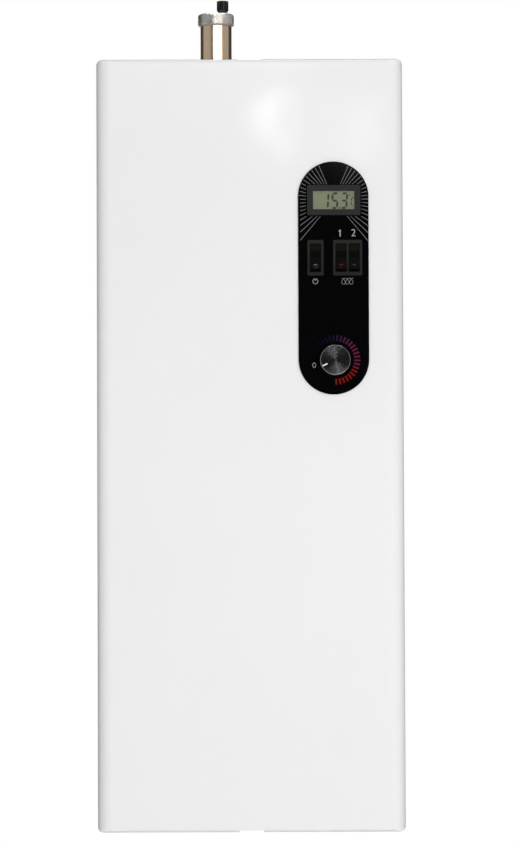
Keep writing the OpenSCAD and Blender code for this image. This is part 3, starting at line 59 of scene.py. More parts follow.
# %% [markdown]
# ## The camera
# The photograph was taken from a few metres away, a little below the middle
# of the casing and tilted up. That is why the bottom edge looks about one
# part in a hundred wider than the top edge. A camera could be placed by eye,
# but the four corners of the casing fix it, so it is written as numbers: its
# place, its tilt and a small roll. The longer side of the picture is the
# height, so the lens is worked out from that side.

# %% Place the camera
PICTURE_H = 847  # pixels
FOCAL_PX = 3991
SENSOR = 36.0
CAMERA_TILT, CAMERA_ROLL = 2.182, -0.221  # degrees
CAMERA_AT = (7.1, -3653, -392.9)  # mm

camera_data = bpy.data.cameras.new("photo_camera")
camera_data.sensor_width = SENSOR
camera_data.lens = FOCAL_PX * SENSOR / PICTURE_H
camera = bpy.data.objects.new("photo_camera", camera_data)
bpy.context.scene.collection.objects.link(camera)
tilt_up = Matrix.Rotation(math.radians(90 + CAMERA_TILT), 3, "X")
roll = Matrix.Rotation(math.radians(CAMERA_ROLL), 3, "Z")
camera.matrix_world = (tilt_up @ roll).to_4x4()
camera.location = Vector(CAMERA_AT) * MM
bpy.context.scene.camera = camera
bpy.context.scene.view_settings.view_transform = "Standard"
print("lens", round(camera_data.lens, 1), "mm")

# %% [markdown]
# ## Writing shaders as arithmetic
# The light of the room and the finish of every piece are made of shader
# nodes. Wiring nodes by hand hides what they do. Here an output is wrapped in
# a small class, so that `grain * 0.2 + 0.4` adds the Math nodes by itself.
# Every other node comes from one method, `node`. It takes the node's type, its
# settings, and the values or wires that go into its sockets.

# %% The wire and the nodes
class Wire:
    """One output of a node. Arithmetic on it adds Math nodes."""

    def __init__(self, nodes, socket):
        self.nodes, self.socket = nodes, socket

    def __add__(self, other):
        return self.nodes.math("ADD", self, other)

    def __sub__(self, other):
        return self.nodes.math("SUBTRACT", self, other)

    def __rsub__(self, other):
        return self.nodes.math("SUBTRACT", other, self)

    def __mul__(self, other):
        return self.nodes.math("MULTIPLY", self, other)

    def __truediv__(self, other):
        return self.nodes.math("DIVIDE", self, other)

    def __rtruediv__(self, other):
        return self.nodes.math("DIVIDE", other, self)

    __radd__, __rmul__ = __add__, __mul__


class Nodes:
    """The shader nodes of the room's light or of one finish."""

    def __init__(self, tree):
        self.tree = tree

    def plug(self, socket, value):
        if isinstance(value, Wire):
            self.tree.links.new(value.socket, socket)
        else:
            socket.default_value = value

    def node(self, kind, settings, sockets, output=0):
        """Adds a node: first its settings, then the values or wires of its sockets."""
        made = self.tree.nodes.new("ShaderNode" + kind)
        for name, value in settings.items():
            if name == "stops":
                ramp = made.color_ramp.elements
                while len(ramp) < len(value):
                    ramp.new(0.5)
                for stop, (position, colour) in zip(ramp, value):
                    stop.position, stop.color = position, (*colour, 1.0)
            else:
                setattr(made, name, value)
        for name, value in sockets.items():
            self.plug(made.inputs[name], value)
        return Wire(self, made.outputs[output])

    def math(self, operation, *values):
        return self.node("Math", {"operation": operation}, dict(enumerate(values)))


print("wires and nodes ready")

# %% [markdown]
# ## Light and floor
# The photograph was taken in a plain room and cut out on white. A photographer
# lights such an object in two ways at once. Lamps make it bright: here three
# soft ones, and as they stand a little to the right, the left bend of the
# casing is darker. White cards are what its shiny parts mirror. The band on
# the air vent is a wide card in front of it. The two fans on the knob's face
# come from a card above the camera, its bright rim from one near the ceiling,
# and the patches high on the casing from two small ones. So that each can be
# set by itself, no piece mirrors the lamps, and the cards light nothing else.
#
# The background is white because the world is white for camera rays. Glossy
# rays see that white straight behind the boiler too. Elsewhere they see a
# room: dark walls behind the sides, pale ones beside it and a dim one behind
# the camera, which keeps the black panel black. The ramp below runs from the
# front of the room to the back. The boiler hangs, so the floor lies well
# below it, out of the photograph.

# %% Light the room
world = bpy.data.worlds.new("plain_room")
bpy.context.scene.world = world
world.use_nodes = True
world.node_tree.nodes.clear()
sky = Nodes(world.node_tree)
ROOM_STOPS = [(0.0, 0.035), (0.03, 0.035), (0.15, 0.50), (0.58, 0.55), (0.68, 0.06), (0.93, 0.05),
              (0.98, 1.0)]
AMBIENT = 0.39
way = sky.node("TexCoord", {}, {}, "Generated")
depth = (sky.node("SeparateXYZ", {}, {0: way}, "Y") + 1.0) * 0.5
greys = [(position, (grey, grey, grey)) for position, grey in ROOM_STOPS]
room = sky.node("ValToRGB", {"stops": greys}, {"Fac": depth}, "Color")
camera_ray = sky.node("LightPath", {}, {}, "Is Camera Ray")
clear_ray = sky.node("LightPath", {}, {}, "Is Transmission Ray")
glossy_ray = sky.node("LightPath", {}, {}, "Is Glossy Ray")
seen = sky.math("MAXIMUM", camera_ray, clear_ray)
matt = 1.0 - sky.math("MAXIMUM", seen, glossy_ray)
strength = seen + glossy_ray * room + matt * AMBIENT
glow = sky.node("Background", {}, {"Color": (1, 1, 1, 1), "Strength": strength})
sky.plug(sky.tree.nodes.new("ShaderNodeOutputWorld").inputs["Surface"], glow)
print("nodes in the room's light:", len(sky.tree.nodes))


# %% Hang the lamps and cards
def area_light(name, place, target, size, watts, mirrored):
    """A rectangular lamp that only glossy surfaces see if it is mirrored, and only matt ones if not."""
    lamp_data = bpy.data.lights.new(name, "AREA")
    lamp_data.shape = "RECTANGLE"
    lamp_data.size, lamp_data.size_y = size
    lamp_data.energy = watts
    lamp = bpy.data.objects.new(name, lamp_data)
    bpy.context.scene.collection.objects.link(lamp)
    lamp.location = place
    lamp.visible_camera = False
    lamp.visible_glossy = mirrored
    lamp.visible_diffuse = not mirrored
    lamp.rotation_euler = (Vector(target) - Vector(place)).to_track_quat("-Z", "Y").to_euler()


def card(name, place, target, size, level):
    """A white card that glossy surfaces mirror as level times white."""
    area_light(name, place, target, size, level * math.pi * size[0] * size[1], True)


middle = (0, -0.1, -0.27)
area_light("soft_front", (0.25, -2.2, -0.35), (0.25, -0.155, -0.35), (0.8, 0.8), 20.5, False)
area_light("soft_right", (1.35, -3.1, -0.1), middle, (1.4, 1.2), 19, False)
area_light("soft_top", (-0.2, -2.6, 1.5), middle, (1.2, 0.6), 4, False)
card("vent_card", (0.195, -1.1, 0.27), (0, -0.05, 0.09), (1.29, 0.16), 5.0)
card("knob_card", (-0.16, -3.1, 0.64), (0.07, -0.17, -0.2), (0.56, 0.58), 1.2)
card("ceiling_card", (0.07, -0.3, 1.3), (0.07, -0.17, -0.2), (1.4, 1.2), 6.5)
card("window_card", (0.027, -3.155, 0.35), (0.018, -0.155, 0.007), (0.07, 0.09), 13)
card("small_card", (0.175, -3.155, 0.33), (0.1, -0.155, 0.0), (0.05, 0.08), 8)

# %% Lay the floor
bpy.ops.object.select_all(action="DESELECT")
FLOOR_REACH, FLOOR_AT = 2.6, (0, -0.3, -1.45)  # metres
bpy.ops.mesh.primitive_circle_add(vertices=64, radius=FLOOR_REACH, fill_type="NGON", location=FLOOR_AT)
floor = bpy.context.object
floor.name = "floor"

# %% [markdown]
# ## One class for a finish
# A finish is a Principled shader with a few nodes in front of it. Values that
# are the same all over the piece are set on the shader's own sockets. What
# changes from point to point is a wire into its colour, roughness or normal.
# The patterns read Object coordinates. These are metres in the frame of the
# CAD model, so a grain has its real size and stays on the piece as it moves.

# %% The finish
class Finish(Nodes):
    """A material for one finish of the boiler."""

    def __init__(self, name, colour, roughness, **fixed):
        self.material = bpy.data.materials.new(name)
        self.material.use_nodes = True
        super().__init__(self.material.node_tree)
        self.shader = self.tree.nodes["Principled BSDF"]
        self.colour = (*colour, 1.0)
        self.place = self.node("TexCoord", {}, {}, "Object")
        self.set({"Base Color": self.colour, "Roughness": roughness})
        self.set({key.replace("_", " "): value for key, value in fixed.items()})

    def set(self, values):
        for name, value in values.items():
            self.plug(self.shader.inputs[name], value)

    def noise(self, scale, detail=2.0, finer=(1, 1, 1)):
        """A grain of scale cells to the metre, and as many times finer along X, Y and Z as finer says."""
        place = self.node("Mapping", {}, {"Vector": self.place, "Scale": finer})
        return self.node("TexNoise", {}, {"Vector": place, "Scale": scale, "Detail": detail}, "Fac")

    def mix(self, low, high, share):
        """The colour low where share is 0, and high where it is 1."""
        return self.node("Mix", {"data_type": "RGBA"}, {0: share, 6: low, 7: high}, 2)

    def tone(self, share, dark, light):
        """Varies the base colour between two strengths of itself."""
        shades = [(*(min(1.0, c * k) for c in self.colour[:3]), 1.0) for k in (dark, light)]
        self.set({"Base Color": self.mix(shades[0], shades[1], share)})

    def relief(self, height, depth):
        """Dents the surface by height, which runs from 0 to about 1, times depth in metres."""
        bump = self.node("Bump", {}, {"Height": height, "Distance": depth, "Strength": 1.0}, "Normal")
        self.set({"Normal": bump})


print("finish class ready")

# %% [markdown]
# ## Painted steel
# The casing is powder coated. Powder melts into a smooth gloss film that has
# two kinds of unevenness: a fine orange peel, under a millimetre across, and
# long shallow waves where the sheet itself isn't flat. The waves are what
# break up the bright patch high on the front. Both go into one bump, the
# waves first, and the colour only drifts by a percent or two.

# %% Powder coats
def powder_coat(name, colour, roughness, peel=0.00002, waves=0.00045):
    finish = Finish(name, colour, roughness, Specular_IOR_Level=0.2)
    sheet = finish.noise(11.0, 1.0)
    peel_grain = finish.noise(520.0, 2.0)
    finish.relief(sheet * (waves / peel) + peel_grain, peel)
    finish.tone(finish.noise(5.0, 3.0), 0.975, 1.015)
    finish.set({"Roughness": finish.noise(60.0) * (0.4 * roughness) + 0.8 * roughness})
    return finish


finishes = {
    "white_paint": powder_coat("white_powder", (0.80, 0.80, 0.80), 0.055),
    "chassis_paint": powder_coat("tray_powder", (0.74, 0.74, 0.73), 0.34),
}
print("powder coats:", list(finishes))

# %% [markdown]
# ## Metals
# Drawn and turned metals carry fine lines along one direction, cast ones are
# pitted, and all of them have patches where fingers and heat have dulled
# them. One recipe serves them all: streaks for the lines, a slow noise for
# the patches, and a bump that is a few hundredths of a millimetre deep.

# %% Bare and plated metals
def metal(name, colour, roughness, lines=(1, 1, 14), scale=90.0, depth=0.00002, patch=0.14):
    finish = Finish(name, colour, roughness, Metallic=1.0)
    streaks = finish.noise(scale, 3.0, lines)
    patches = finish.noise(28.0, 3.0)
    finish.tone(patches * 0.6 + streaks * 0.4, 0.82, 1.12)
    finish.set({"Roughness": streaks * patch + patches * patch + (roughness - patch)})
    finish.relief(streaks, depth)
    return finish


finishes.update(
    zinc=metal("bright_zinc", (0.62, 0.63, 0.65), 0.32, (1, 1, 1), 160.0),
    stainless=metal("welded_stainless", (0.58, 0.57, 0.55), 0.30, (1, 1, 9), 160.0),
    brass=metal("turned_brass", (0.71, 0.52, 0.25), 0.26, (1, 1, 12)),
    nickel_brass=metal("nickelled_brass", (0.70, 0.545, 0.385), 0.20, (1, 1, 10), 120.0, patch=0.08),
    copper=metal("bare_copper", (0.72, 0.38, 0.25), 0.30, (1, 1, 0.2)),
    rotor_steel=metal("ground_steel", (0.55, 0.56, 0.58), 0.22, (1, 12, 1)),
    laminations=metal("varnished_laminations", (0.32, 0.22, 0.14), 0.45, (1, 40, 1), 60.0, 0.00008),
    knob_metal=metal("dark_aluminium", (0.10, 0.10, 0.105), 0.30, (1, 1, 1), 300.0),
)
print(len(finishes), "finishes with the metals")


# %% Paint on castings
def cast_coat(name, colour, roughness, depth):
    finish = Finish(name, colour, roughness)
    sand = finish.noise(420.0, 4.0)
    finish.relief(sand + finish.noise(60.0) * 3.0, depth)
    finish.tone(finish.noise(35.0, 4.0), 0.75, 1.2)
    finish.set({"Roughness": sand * 0.2 + (roughness - 0.1)})
    return finish


finishes.update(
    pump_cast=cast_coat("red_cast_iron", (0.30, 0.035, 0.025), 0.42, 0.00008),
    pump_housing=cast_coat("painted_motor_can", (0.07, 0.075, 0.08), 0.38, 0.00003),
)
print(len(finishes), "finishes with the castings")

# %% [markdown]
# ## Plastics, rubber and glass
# Moulded plastic has a faint spark-eroded texture, so its highlight is soft
# and slightly broken. Rubber and foam are rougher, and their pores catch the
# light. The control panel is the exception: a printed gloss sheet that is
# almost a mirror, with nothing but a trace of dust in its roughness.

# %% Moulded and clear finishes
def moulded(name, colour, roughness, grain=700.0, depth=0.00002, spread=0.10, shine=0.5, **fixed):
    finish = Finish(name, colour, roughness, Specular_IOR_Level=shine, **fixed)
    texture = finish.noise(grain, 2.0)
    finish.relief(texture, depth)
    finish.tone(finish.noise(45.0, 3.0), 0.9, 1.1)
    finish.set({"Roughness": texture * spread + finish.noise(40.0) * spread + (roughness - spread)})
    return finish


finishes.update(
    foam=moulded("closed_cell_foam", (0.045, 0.045, 0.05), 0.85, 330.0, 0.0003),
    black_rubber=moulded("black_rubber", (0.018, 0.018, 0.018), 0.62, 500.0, 0.00005),
    black_plastic=moulded("black_plastic", (0.0045, 0.0045, 0.005), 0.22, shine=0.25),
    red_plastic=moulded("red_plastic", (0.50, 0.022, 0.015), 0.36),
    ceramic=moulded("glazed_ceramic", (0.78, 0.74, 0.65), 0.18, 150.0),
    float_plastic=moulded("white_float_plastic", (0.72, 0.70, 0.64), 0.42),
    panel_gloss=moulded("printed_gloss_panel", (0.0012, 0.0012, 0.0016), 0.06, 30.0, 0.000004, 0.02, 0.2),
    screen=moulded("display_screen_green", (0.27, 0.30, 0.185), 0.45, 60.0, 0.000004),
    window_clear=moulded("clear_window", (0.02, 0.025, 0.02), 0.08, 40.0, 0.000004, 0.02, 0.4,
                         Alpha=0.12, IOR=1.49),
    lamp_red=moulded("red_lamp_lens", (0.30, 0.012, 0.016), 0.16, 300.0),
    device_grey=moulded("light_grey_plastic", (0.50, 0.51, 0.51), 0.40),
    gland_grey=moulded("grey_nylon", (0.24, 0.24, 0.25), 0.38),
    hose=moulded("milky_hose", (0.68, 0.68, 0.64), 0.30, 160.0),
    wire=moulded("wire_insulation", (0.42, 0.035, 0.03), 0.40, 260.0),
)
print(len(finishes), "finishes with the plastics")

# %% Give every CAD node the finish of its slot
for part in frame["record"]["subparts"]:
    node = frame["nodes"][part["node"]]
    node.data.materials.clear()
    node.data.materials.append(finishes[part["material_slot"]].material)
floor_finish = powder_coat("pale_floor", (0.80, 0.80, 0.79), 0.55)
floor.data.materials.append(floor_finish.material)
print(len(frame["nodes"]), "nodes dressed in", len(finishes), "finishes")

# %% [markdown]
# ## Modelling as by hand
# The new pieces are modelled with Blender's own operators, the ones behind
# its menus. A script has no mouse, so `pick` selects faces or points by their
# place instead. `turned` is the lathe: it draws a profile point by point and
# spins it. `settle` ends a piece: its place goes into its mesh, its edges are
# shaded, it gets its finish and rides on a body of the CAD model. It prints
# how many edges are open, which is none on a closed shell.

# %% Edit mode and what is selected in it
def edit(piece):
    """Goes into edit mode on the piece, with all of it selected."""
    bpy.ops.object.select_all(action="DESELECT")
    piece.select_set(True)
    bpy.context.view_layer.objects.active = piece
    bpy.ops.object.mode_set(mode="EDIT")
    bpy.ops.mesh.select_mode(type="VERT")
    bpy.ops.mesh.select_all(action="SELECT")


def pick(test, points=False):
    """Selects the faces, or points, whose place passes the test, and nothing else."""
    bpy.ops.mesh.select_mode(type="VERT" if points else "FACE")
    bpy.ops.mesh.select_all(action="DESELECT")
    shape = bmesh.from_edit_mesh(bpy.context.object.data)
    chosen = [v for v in shape.verts if test(v.co)] if points else [
        f for f in shape.faces if test(f.calc_center_median(), f.normal)]
    for item in chosen:
        item.select_set(True)
    shape.select_flush_mode()
    bmesh.update_edit_mesh(bpy.context.object.data)
    return len(chosen)


print("edit helpers ready")


# %% The end of a piece
def settle(piece, finish, body, *nodes, smooth=35):
    """Gives a piece its place, shading, finish and body, and hides the CAD nodes that it stands for."""
    if bpy.context.object and bpy.context.object.mode == "EDIT":
        bpy.ops.object.mode_set(mode="OBJECT")
    bpy.ops.object.select_all(action="DESELECT")
    piece.select_set(True)
    bpy.context.view_layer.objects.active = piece
    bpy.ops.object.transform_apply(location=True, rotation=True, scale=True)
    bpy.ops.object.shade_smooth_by_angle(angle=math.radians(smooth))
    piece.data.materials.clear()
    piece.data.materials.append(finish.material)
    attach(piece, body)
    if nodes:
        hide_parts(*nodes)
    shape = bmesh.new()
    shape.from_mesh(piece.data)
    print(piece.name, len(shape.faces), "faces,", sum(not e.is_manifold for e in shape.edges), "open edges,",
          round(shape.calc_volume(signed=True) * 1e9, 2), "mm3")
    shape.free()


print("settle is ready")


# %% The lathe
def turned(name, profile, place=(0, 0, 0), facing=(0, 0, 0), sides=64):
    """A closed profile of (radius, height) in mm, spun round and set at place."""
    bpy.ops.object.select_all(action="DESELECT")
    bpy.ops.mesh.primitive_plane_add(size=MM)
    piece = bpy.context.object
    piece.name = name
    edit(piece)
    bpy.ops.mesh.merge(type="CENTER")
    bpy.ops.transform.translate(value=(profile[0][0] * MM, 0, profile[0][1] * MM))
    for (r0, z0), (r1, z1) in zip(profile, profile[1:]):
        step = ((r1 - r0) * MM, 0, (z1 - z0) * MM)
        bpy.ops.mesh.extrude_vertices_move(TRANSFORM_OT_translate={"value": step})
    bpy.ops.mesh.select_all(action="SELECT")
    bpy.ops.mesh.spin(steps=sides, angle=math.tau, center=(0, 0, 0), axis=(0, 0, 1), use_auto_merge=True)
    bpy.ops.mesh.select_all(action="SELECT")
    bpy.ops.mesh.remove_doubles(threshold=1e-6)
    bpy.ops.mesh.normals_make_consistent(inside=False)
    bpy.ops.object.mode_set(mode="OBJECT")
    piece.location = Vector(place) * MM
    piece.rotation_euler = facing
    return piece


print("lathe ready")

# %% [markdown]
# ## Easing the edges of moulded parts
# A CAD edge is perfectly sharp and never catches light. A moulded or pressed
# edge has a small radius that draws a thin bright line in a photograph. The
# frames, the rockers and the panel get it from a copy of their CAD mesh: the
# copy's loose triangles are merged, the flat ones dissolved into whole faces,
# and a Bevel modifier rounds what is left. The upper ends of the rockers are
# pressed in, and their tilted faces catch more light from above. That light is
# a painted highlight: the rockers' finish grows paler above a certain height.

# %% Ease the CAD edges that show
def eased(node_name, finish, body, width):
    """Rounds the edges of a copy of a CAD node by width, in mm. The copy then stands for the node."""
    bpy.ops.object.select_all(action="DESELECT")
    piece = bpy.data.objects.new(node_name + "_eased", frame["nodes"][node_name].data.copy())
    bpy.context.scene.collection.objects.link(piece)
    edit(piece)
    bpy.ops.mesh.remove_doubles(threshold=1e-6)
    bpy.ops.mesh.dissolve_limited(angle_limit=math.radians(1))
    bpy.ops.object.mode_set(mode="OBJECT")
    soft = piece.modifiers.new("edge", "BEVEL")
    soft.width, soft.segments, soft.limit_method = width * MM, 3, "ANGLE"
    soft.angle_limit = math.radians(35)
    soft.use_clamp_overlap = True
    bpy.ops.object.modifier_apply(modifier="edge")
    settle(piece, finish, body, node_name, smooth=5)


frame_black = moulded("switch_frame_plastic", (0.0175, 0.0165, 0.0165), 0.42, 600.0, 0.00003, shine=0.06)
rocker_black = moulded("rocker_plastic", (0.0026, 0.0026, 0.0020), 0.30, 600.0, 0.00001, shine=0.02)
# Above PALE_FROM the rockers' finish is a painted highlight, for the light that their tilted upper ends
# catch, mixed with a faint random tone.
PALE_FROM, PALE_RISE = 5.7, 1500.0  # mm above the switch's middle, and share for each metre past it
low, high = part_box("power_switch_frame")
pale_z = (low[2] + high[2]) / 2 + PALE_FROM * MM
above = rocker_black.node("SeparateXYZ", {}, {0: rocker_black.place}, "Z") - pale_z
clamped = {"operation": "MULTIPLY", "use_clamp": True}
# The paler upper end is a painted highlight, for the light that the tilted face catches; a faint noise adds
# random tone.
painted_light_top = rocker_black.node("Math", clamped, {0: above, 1: PALE_RISE})
tone_and_painted_light = rocker_black.noise(90.0, 3.0) * 0.3 + painted_light_top * 0.7
darkest, palest = (0.0014, 0.0014, 0.0009, 1), (0.0062, 0.0070, 0.0046, 1)
rocker_black.set({"Base Color": rocker_black.mix(darkest, palest, tone_and_painted_light)})
bezel_grey = moulded("bezel_plastic", (0.0195, 0.0215, 0.022), 0.42, 600.0, 0.00003, shine=0.08)
eased("power_switch_frame", frame_black, "boiler", 0.3)
eased("stage_switch_frame", frame_black, "boiler", 0.3)
eased("display_case", bezel_grey, "boiler", 0.35)
eased("control_panel", finishes["panel_gloss"], "boiler", 0.25)
for switch in ("power_rocker", "stage_rocker_1", "stage_rocker_2"):
    eased(switch, rocker_black, switch, 0.35)

# %% [markdown]
# ## The air vent's knurled ring
# The ring is screwed on by hand, so its side is knurled: fine slanted ribs
# rolled into the nickelled brass. A bump could fake them, but the outline of
# the ring would stay smooth. So the ribs are real. The lathe gives a ring
# whose side has several levels of small faces. Each level is turned a little
# further than the one below, which slants the columns of faces, and every
# other column is then pulled out by a quarter of a millimetre. These ribs are
# finer than a pixel of the picture and would blur into an even band. So the
# finish adds a bump of coarser slanted ribs, broken up by a noise, and the
# light sparkles on them.

# %% Turn the ring
low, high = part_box("vent_body")
vent_x, vent_y = [(low[i] + high[i]) / 2 / MM for i in (0, 1)]
low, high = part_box("vent_cap")
cap_x, cap_z, cap_top = (low[0] + high[0]) / 2 / MM, low[2] / MM, high[2] / MM
ring_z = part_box("vent_ring")[0][2] / MM
CAP_LIFT = 1.6
ring_top = cap_z - CAP_LIFT - ring_z
RIBS, RIB_OUT, LEVELS = 90, 0.25, 9
band_low, band_high = 1.7, ring_top - 1.3
levels = [band_low + (band_high - band_low) * i / LEVELS for i in range(LEVELS + 1)]
side = 16.4 - RIB_OUT
ring_profile = [(0, 7), (14.3, 7), (14.3, 0.35), (14.6, 0), (15.0, 0.05), (15.6, 0.35),
                (side - 0.12, 0.9), (side, 1.5)]
ring_profile += [(side, z) for z in levels]
ring_profile += [(side, ring_top - 1.05), (side - 0.3, ring_top - 0.5), (side - 0.9, ring_top - 0.12),
                 (side - 1.6, ring_top), (3.6, ring_top), (0, ring_top)]
ring = turned("vent_knurled_ring", ring_profile, (vent_x, vent_y, ring_z), sides=2 * RIBS)
print("ring", round(ring_top, 2), "mm high, with", len(ring.data.polygons), "faces before its ribs")

# %% Slant the columns and pull out every other one
edit(ring)
step = math.tau / (2 * RIBS)
for z in levels[1:]:
    pick(lambda p: p.z > z * MM - 1e-5 and p.xy.length > (side - 1.8) * MM, points=True)
    bpy.ops.transform.rotate(value=-step * 2, orient_axis="Z", center_override=(vent_x * MM, vent_y * MM, 0))


def on_a_rib(place, normal):
    if place.xy.length < (side - 0.2) * MM or not band_low < place.z / MM < band_high:
        return False
    level = sum(place.z / MM > z for z in levels) - 1
    column = math.atan2(place.y, place.x) / step - 2 * level - 1
    return round(column - 0.5) % 2 == 0


ribbed = pick(on_a_rib)
bpy.ops.mesh.extrude_region_shrink_fatten(TRANSFORM_OT_shrink_fatten={"value": RIB_OUT * MM})
bpy.ops.mesh.select_all(action="SELECT")
bpy.ops.mesh.normals_make_consistent(inside=False)
print("faces on the ribs:", ribbed)

# %% Give it the shine of slanted ribs
ring_nickel = Finish("knurled_nickel", (0.82, 0.78, 0.71), 0.2, Metallic=1.0)
arm = ring_nickel.node("VectorMath", {"operation": "SUBTRACT"},
                       {0: ring_nickel.place, 1: (vent_x * MM, vent_y * MM, 0)}, "Vector")
across, along, up = [ring_nickel.node("SeparateXYZ", {}, {0: arm}, axis) for axis in "XYZ"]
COARSE_RIBS, RIB_SLANT = 32.0, 1700.0  # waves round the ring, and radians for each metre up it
turn_round = ring_nickel.math("ARCTAN2", across, along * -1.0)
ribs = ring_nickel.math("SINE", turn_round * COARSE_RIBS + up * RIB_SLANT) * 0.5 + 0.5
ring_nickel.relief(ribs * 0.85 + ring_nickel.noise(330.0) * 2.2, 0.00018)
ring_nickel.tone(ribs * ring_nickel.noise(380.0, 3.0), 0.75, 2.0)
ring_nickel.set({"Roughness": ring_nickel.noise(120.0) * 0.1 + 0.08})
settle(ring, ring_nickel, "boiler", "vent_ring", smooth=28)

# %% The nozzle that the cap closes
nozzle = turned("vent_nozzle", [(0.9, -1), (3, -1), (3, 5.7), (2.7, 6), (1.2, 6), (0.9, 5.7), (0.9, -1)],
                (cap_x, vent_y, ring_z + ring_top), sides=48)
settle(nozzle, finishes["nickel_brass"], "boiler")

# %% [markdown]
# ## The black screw cap
# The cap is a small moulded barrel with flutes for the fingers. Its lower end
# narrows to a neck. It is turned on the same lathe, hollow where the nozzle
# goes in, and the flutes come from pushing every fourth column of points in.

# %% Turn the cap and press in its flutes
cap_h = cap_top - cap_z
cap_profile = [(0, 5.5), (3.05, 5.5), (3.05, 0), (3.45, 0), (3.7, 0.2), (5.05, 1.75), (5.3, 2.3), (5.3, 3.0),
               (5.3, cap_h - 1.3), (5.3, cap_h - 0.8), (5.1, cap_h - 0.3), (4.7, cap_h), (0, cap_h)]
CAP_SIDES = 64
cap = turned("vent_screw_cap", cap_profile, (cap_x, vent_y, cap_z), sides=CAP_SIDES)
edit(cap)
flute = pick(lambda p: p.xy.length > 5.2 * MM and 2.9 < p.z / MM < cap_h - 1.2
             and round(math.degrees(math.atan2(p.y, p.x)) / (360 / CAP_SIDES)) % 4 == 0, points=True)
bpy.ops.transform.resize(value=(0.89, 0.89, 1), center_override=(cap_x * MM, vent_y * MM, 0))
settle(cap, finishes["black_plastic"], "vent_cap", "vent_cap", smooth=30)
print("points in the flutes:", flute)

# %% [markdown]
# ## The thermostat knob
# The knob is a turned aluminium cup. Its face was spun against a tool, which
# left fine circles, and its outer edge was cut bright. Light catches the
# circles only where it falls across them, so two fans of light open from the
# centre. A bump can't show grooves finer than a pixel. Their slope can: the
# normal is tipped outwards and inwards by a sine of the distance from the
# centre, which is worked out exactly at every point. A noise that is looked up
# by direction alone makes the fans streaky.

# %% Turn the knob's cup, bright edge and face
TO_FRONT = (math.pi / 2, 0, 0)
KNOB_SIDES = 96
low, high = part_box("thermostat_knob")
knob = [(low[i] + high[i]) / 2 / MM for i in (0, 2)]
knob_back, knob_front = high[1] / MM, low[1] / MM
knob_h, rim = knob_back - knob_front, (high[0] - low[0]) / 2 / MM
at_knob = (knob[0], knob_back, knob[1])
cup_profile = [(0, 0), (rim - 0.6, 0), (rim - 0.1, 0.4), (rim, 1.2), (rim, knob_h - 1.6),
               (rim - 0.3, knob_h - 1.1), (rim - 0.9, knob_h - 1.1), (rim - 0.9, knob_h - 2.0),
               (0, knob_h - 2.0)]
cup = turned("knob_cup", cup_profile, at_knob, TO_FRONT, KNOB_SIDES)
settle(cup, finishes["knob_metal"], "thermostat_knob", "thermostat_knob", "knob_cap")
edge_profile = [(rim - 1.0, knob_h - 1.5), (rim - 0.2, knob_h - 1.5), (rim - 0.05, knob_h - 0.9),
                (rim - 0.2, knob_h - 0.3), (rim - 0.5, knob_h), (rim - 0.85, knob_h - 0.03),
                (rim - 0.95, knob_h - 0.5), (rim - 1.0, knob_h - 1.5)]
edge = turned("knob_bright_edge", edge_profile, at_knob, TO_FRONT, KNOB_SIDES)
face_profile = [(0, knob_h - 2.2), (rim - 0.9, knob_h - 2.2), (rim - 0.9, knob_h - 0.75),
                (rim - 1.3, knob_h - 0.6), (6, knob_h - 0.66), (0, knob_h - 0.7)]
face = turned("knob_face", face_profile, at_knob, TO_FRONT, KNOB_SIDES)

# %% Model the white pointer
POINTS_TO = 205.5  # degrees, anticlockwise from the right
bpy.ops.object.select_all(action="DESELECT")
bpy.ops.mesh.primitive_cube_add(size=MM)
pointer = bpy.context.object
pointer.name = "knob_pointer"
edit(pointer)
bpy.ops.transform.resize(value=(5.0, 1.1, 0.5))
bpy.ops.transform.translate(value=(10.3 * MM, 0, (knob_h - 0.55) * MM))
pick(lambda p, n: n.z > 0.9)
bpy.ops.mesh.inset(thickness=0.12 * MM)
bpy.ops.transform.translate(value=(0, 0, 0.06 * MM))
bpy.ops.mesh.select_all(action="SELECT")
bpy.ops.transform.rotate(value=-math.radians(POINTS_TO), orient_axis="Z", center_override=(0, 0, 0))
bpy.ops.object.mode_set(mode="OBJECT")
pointer.location, pointer.rotation_euler = Vector(at_knob) * MM, TO_FRONT
print("pointer has", len(pointer.data.polygons), "faces and points to", POINTS_TO, "degrees")

# %% The knob's finishes
GROOVES = 26000.0  # radians of the wave for each metre from the centre


def spun_face(name, colour, roughness, centre, slope):
    finish = Finish(name, colour, roughness, Metallic=1.0)
    arm = finish.node("VectorMath", {"operation": "SUBTRACT"},
                      {0: finish.place, 1: [v * MM for v in centre]}, "Vector")
    arm = finish.node("VectorMath", {"operation": "MULTIPLY"}, {0: arm, 1: (1, 0, 1)}, "Vector")
    reach = finish.node("VectorMath", {"operation": "LENGTH"}, {0: arm}, "Value")
    outwards = finish.node("VectorMath", {"operation": "NORMALIZE"}, {0: arm}, "Vector")
    grooves = finish.math("SINE", reach * GROOVES)
    tip = finish.node("VectorMath", {"operation": "SCALE"}, {0: outwards, "Scale": grooves * slope}, "Vector")
    surface = finish.node("NewGeometry", {}, {}, "Normal")
    tipped = finish.node("VectorMath", {"operation": "ADD"}, {0: surface, 1: tip}, "Vector")
    finish.set({"Normal": finish.node("VectorMath", {"operation": "NORMALIZE"}, {0: tipped}, "Vector")})
    rays = finish.node("TexNoise", {}, {"Vector": outwards, "Scale": 6.0, "Detail": 4.0}, "Fac")
    finish.tone(rays, 0.1, 1.9)
    finish.set({"Roughness": rays * 0.06 + (roughness - 0.03)})
    return finish


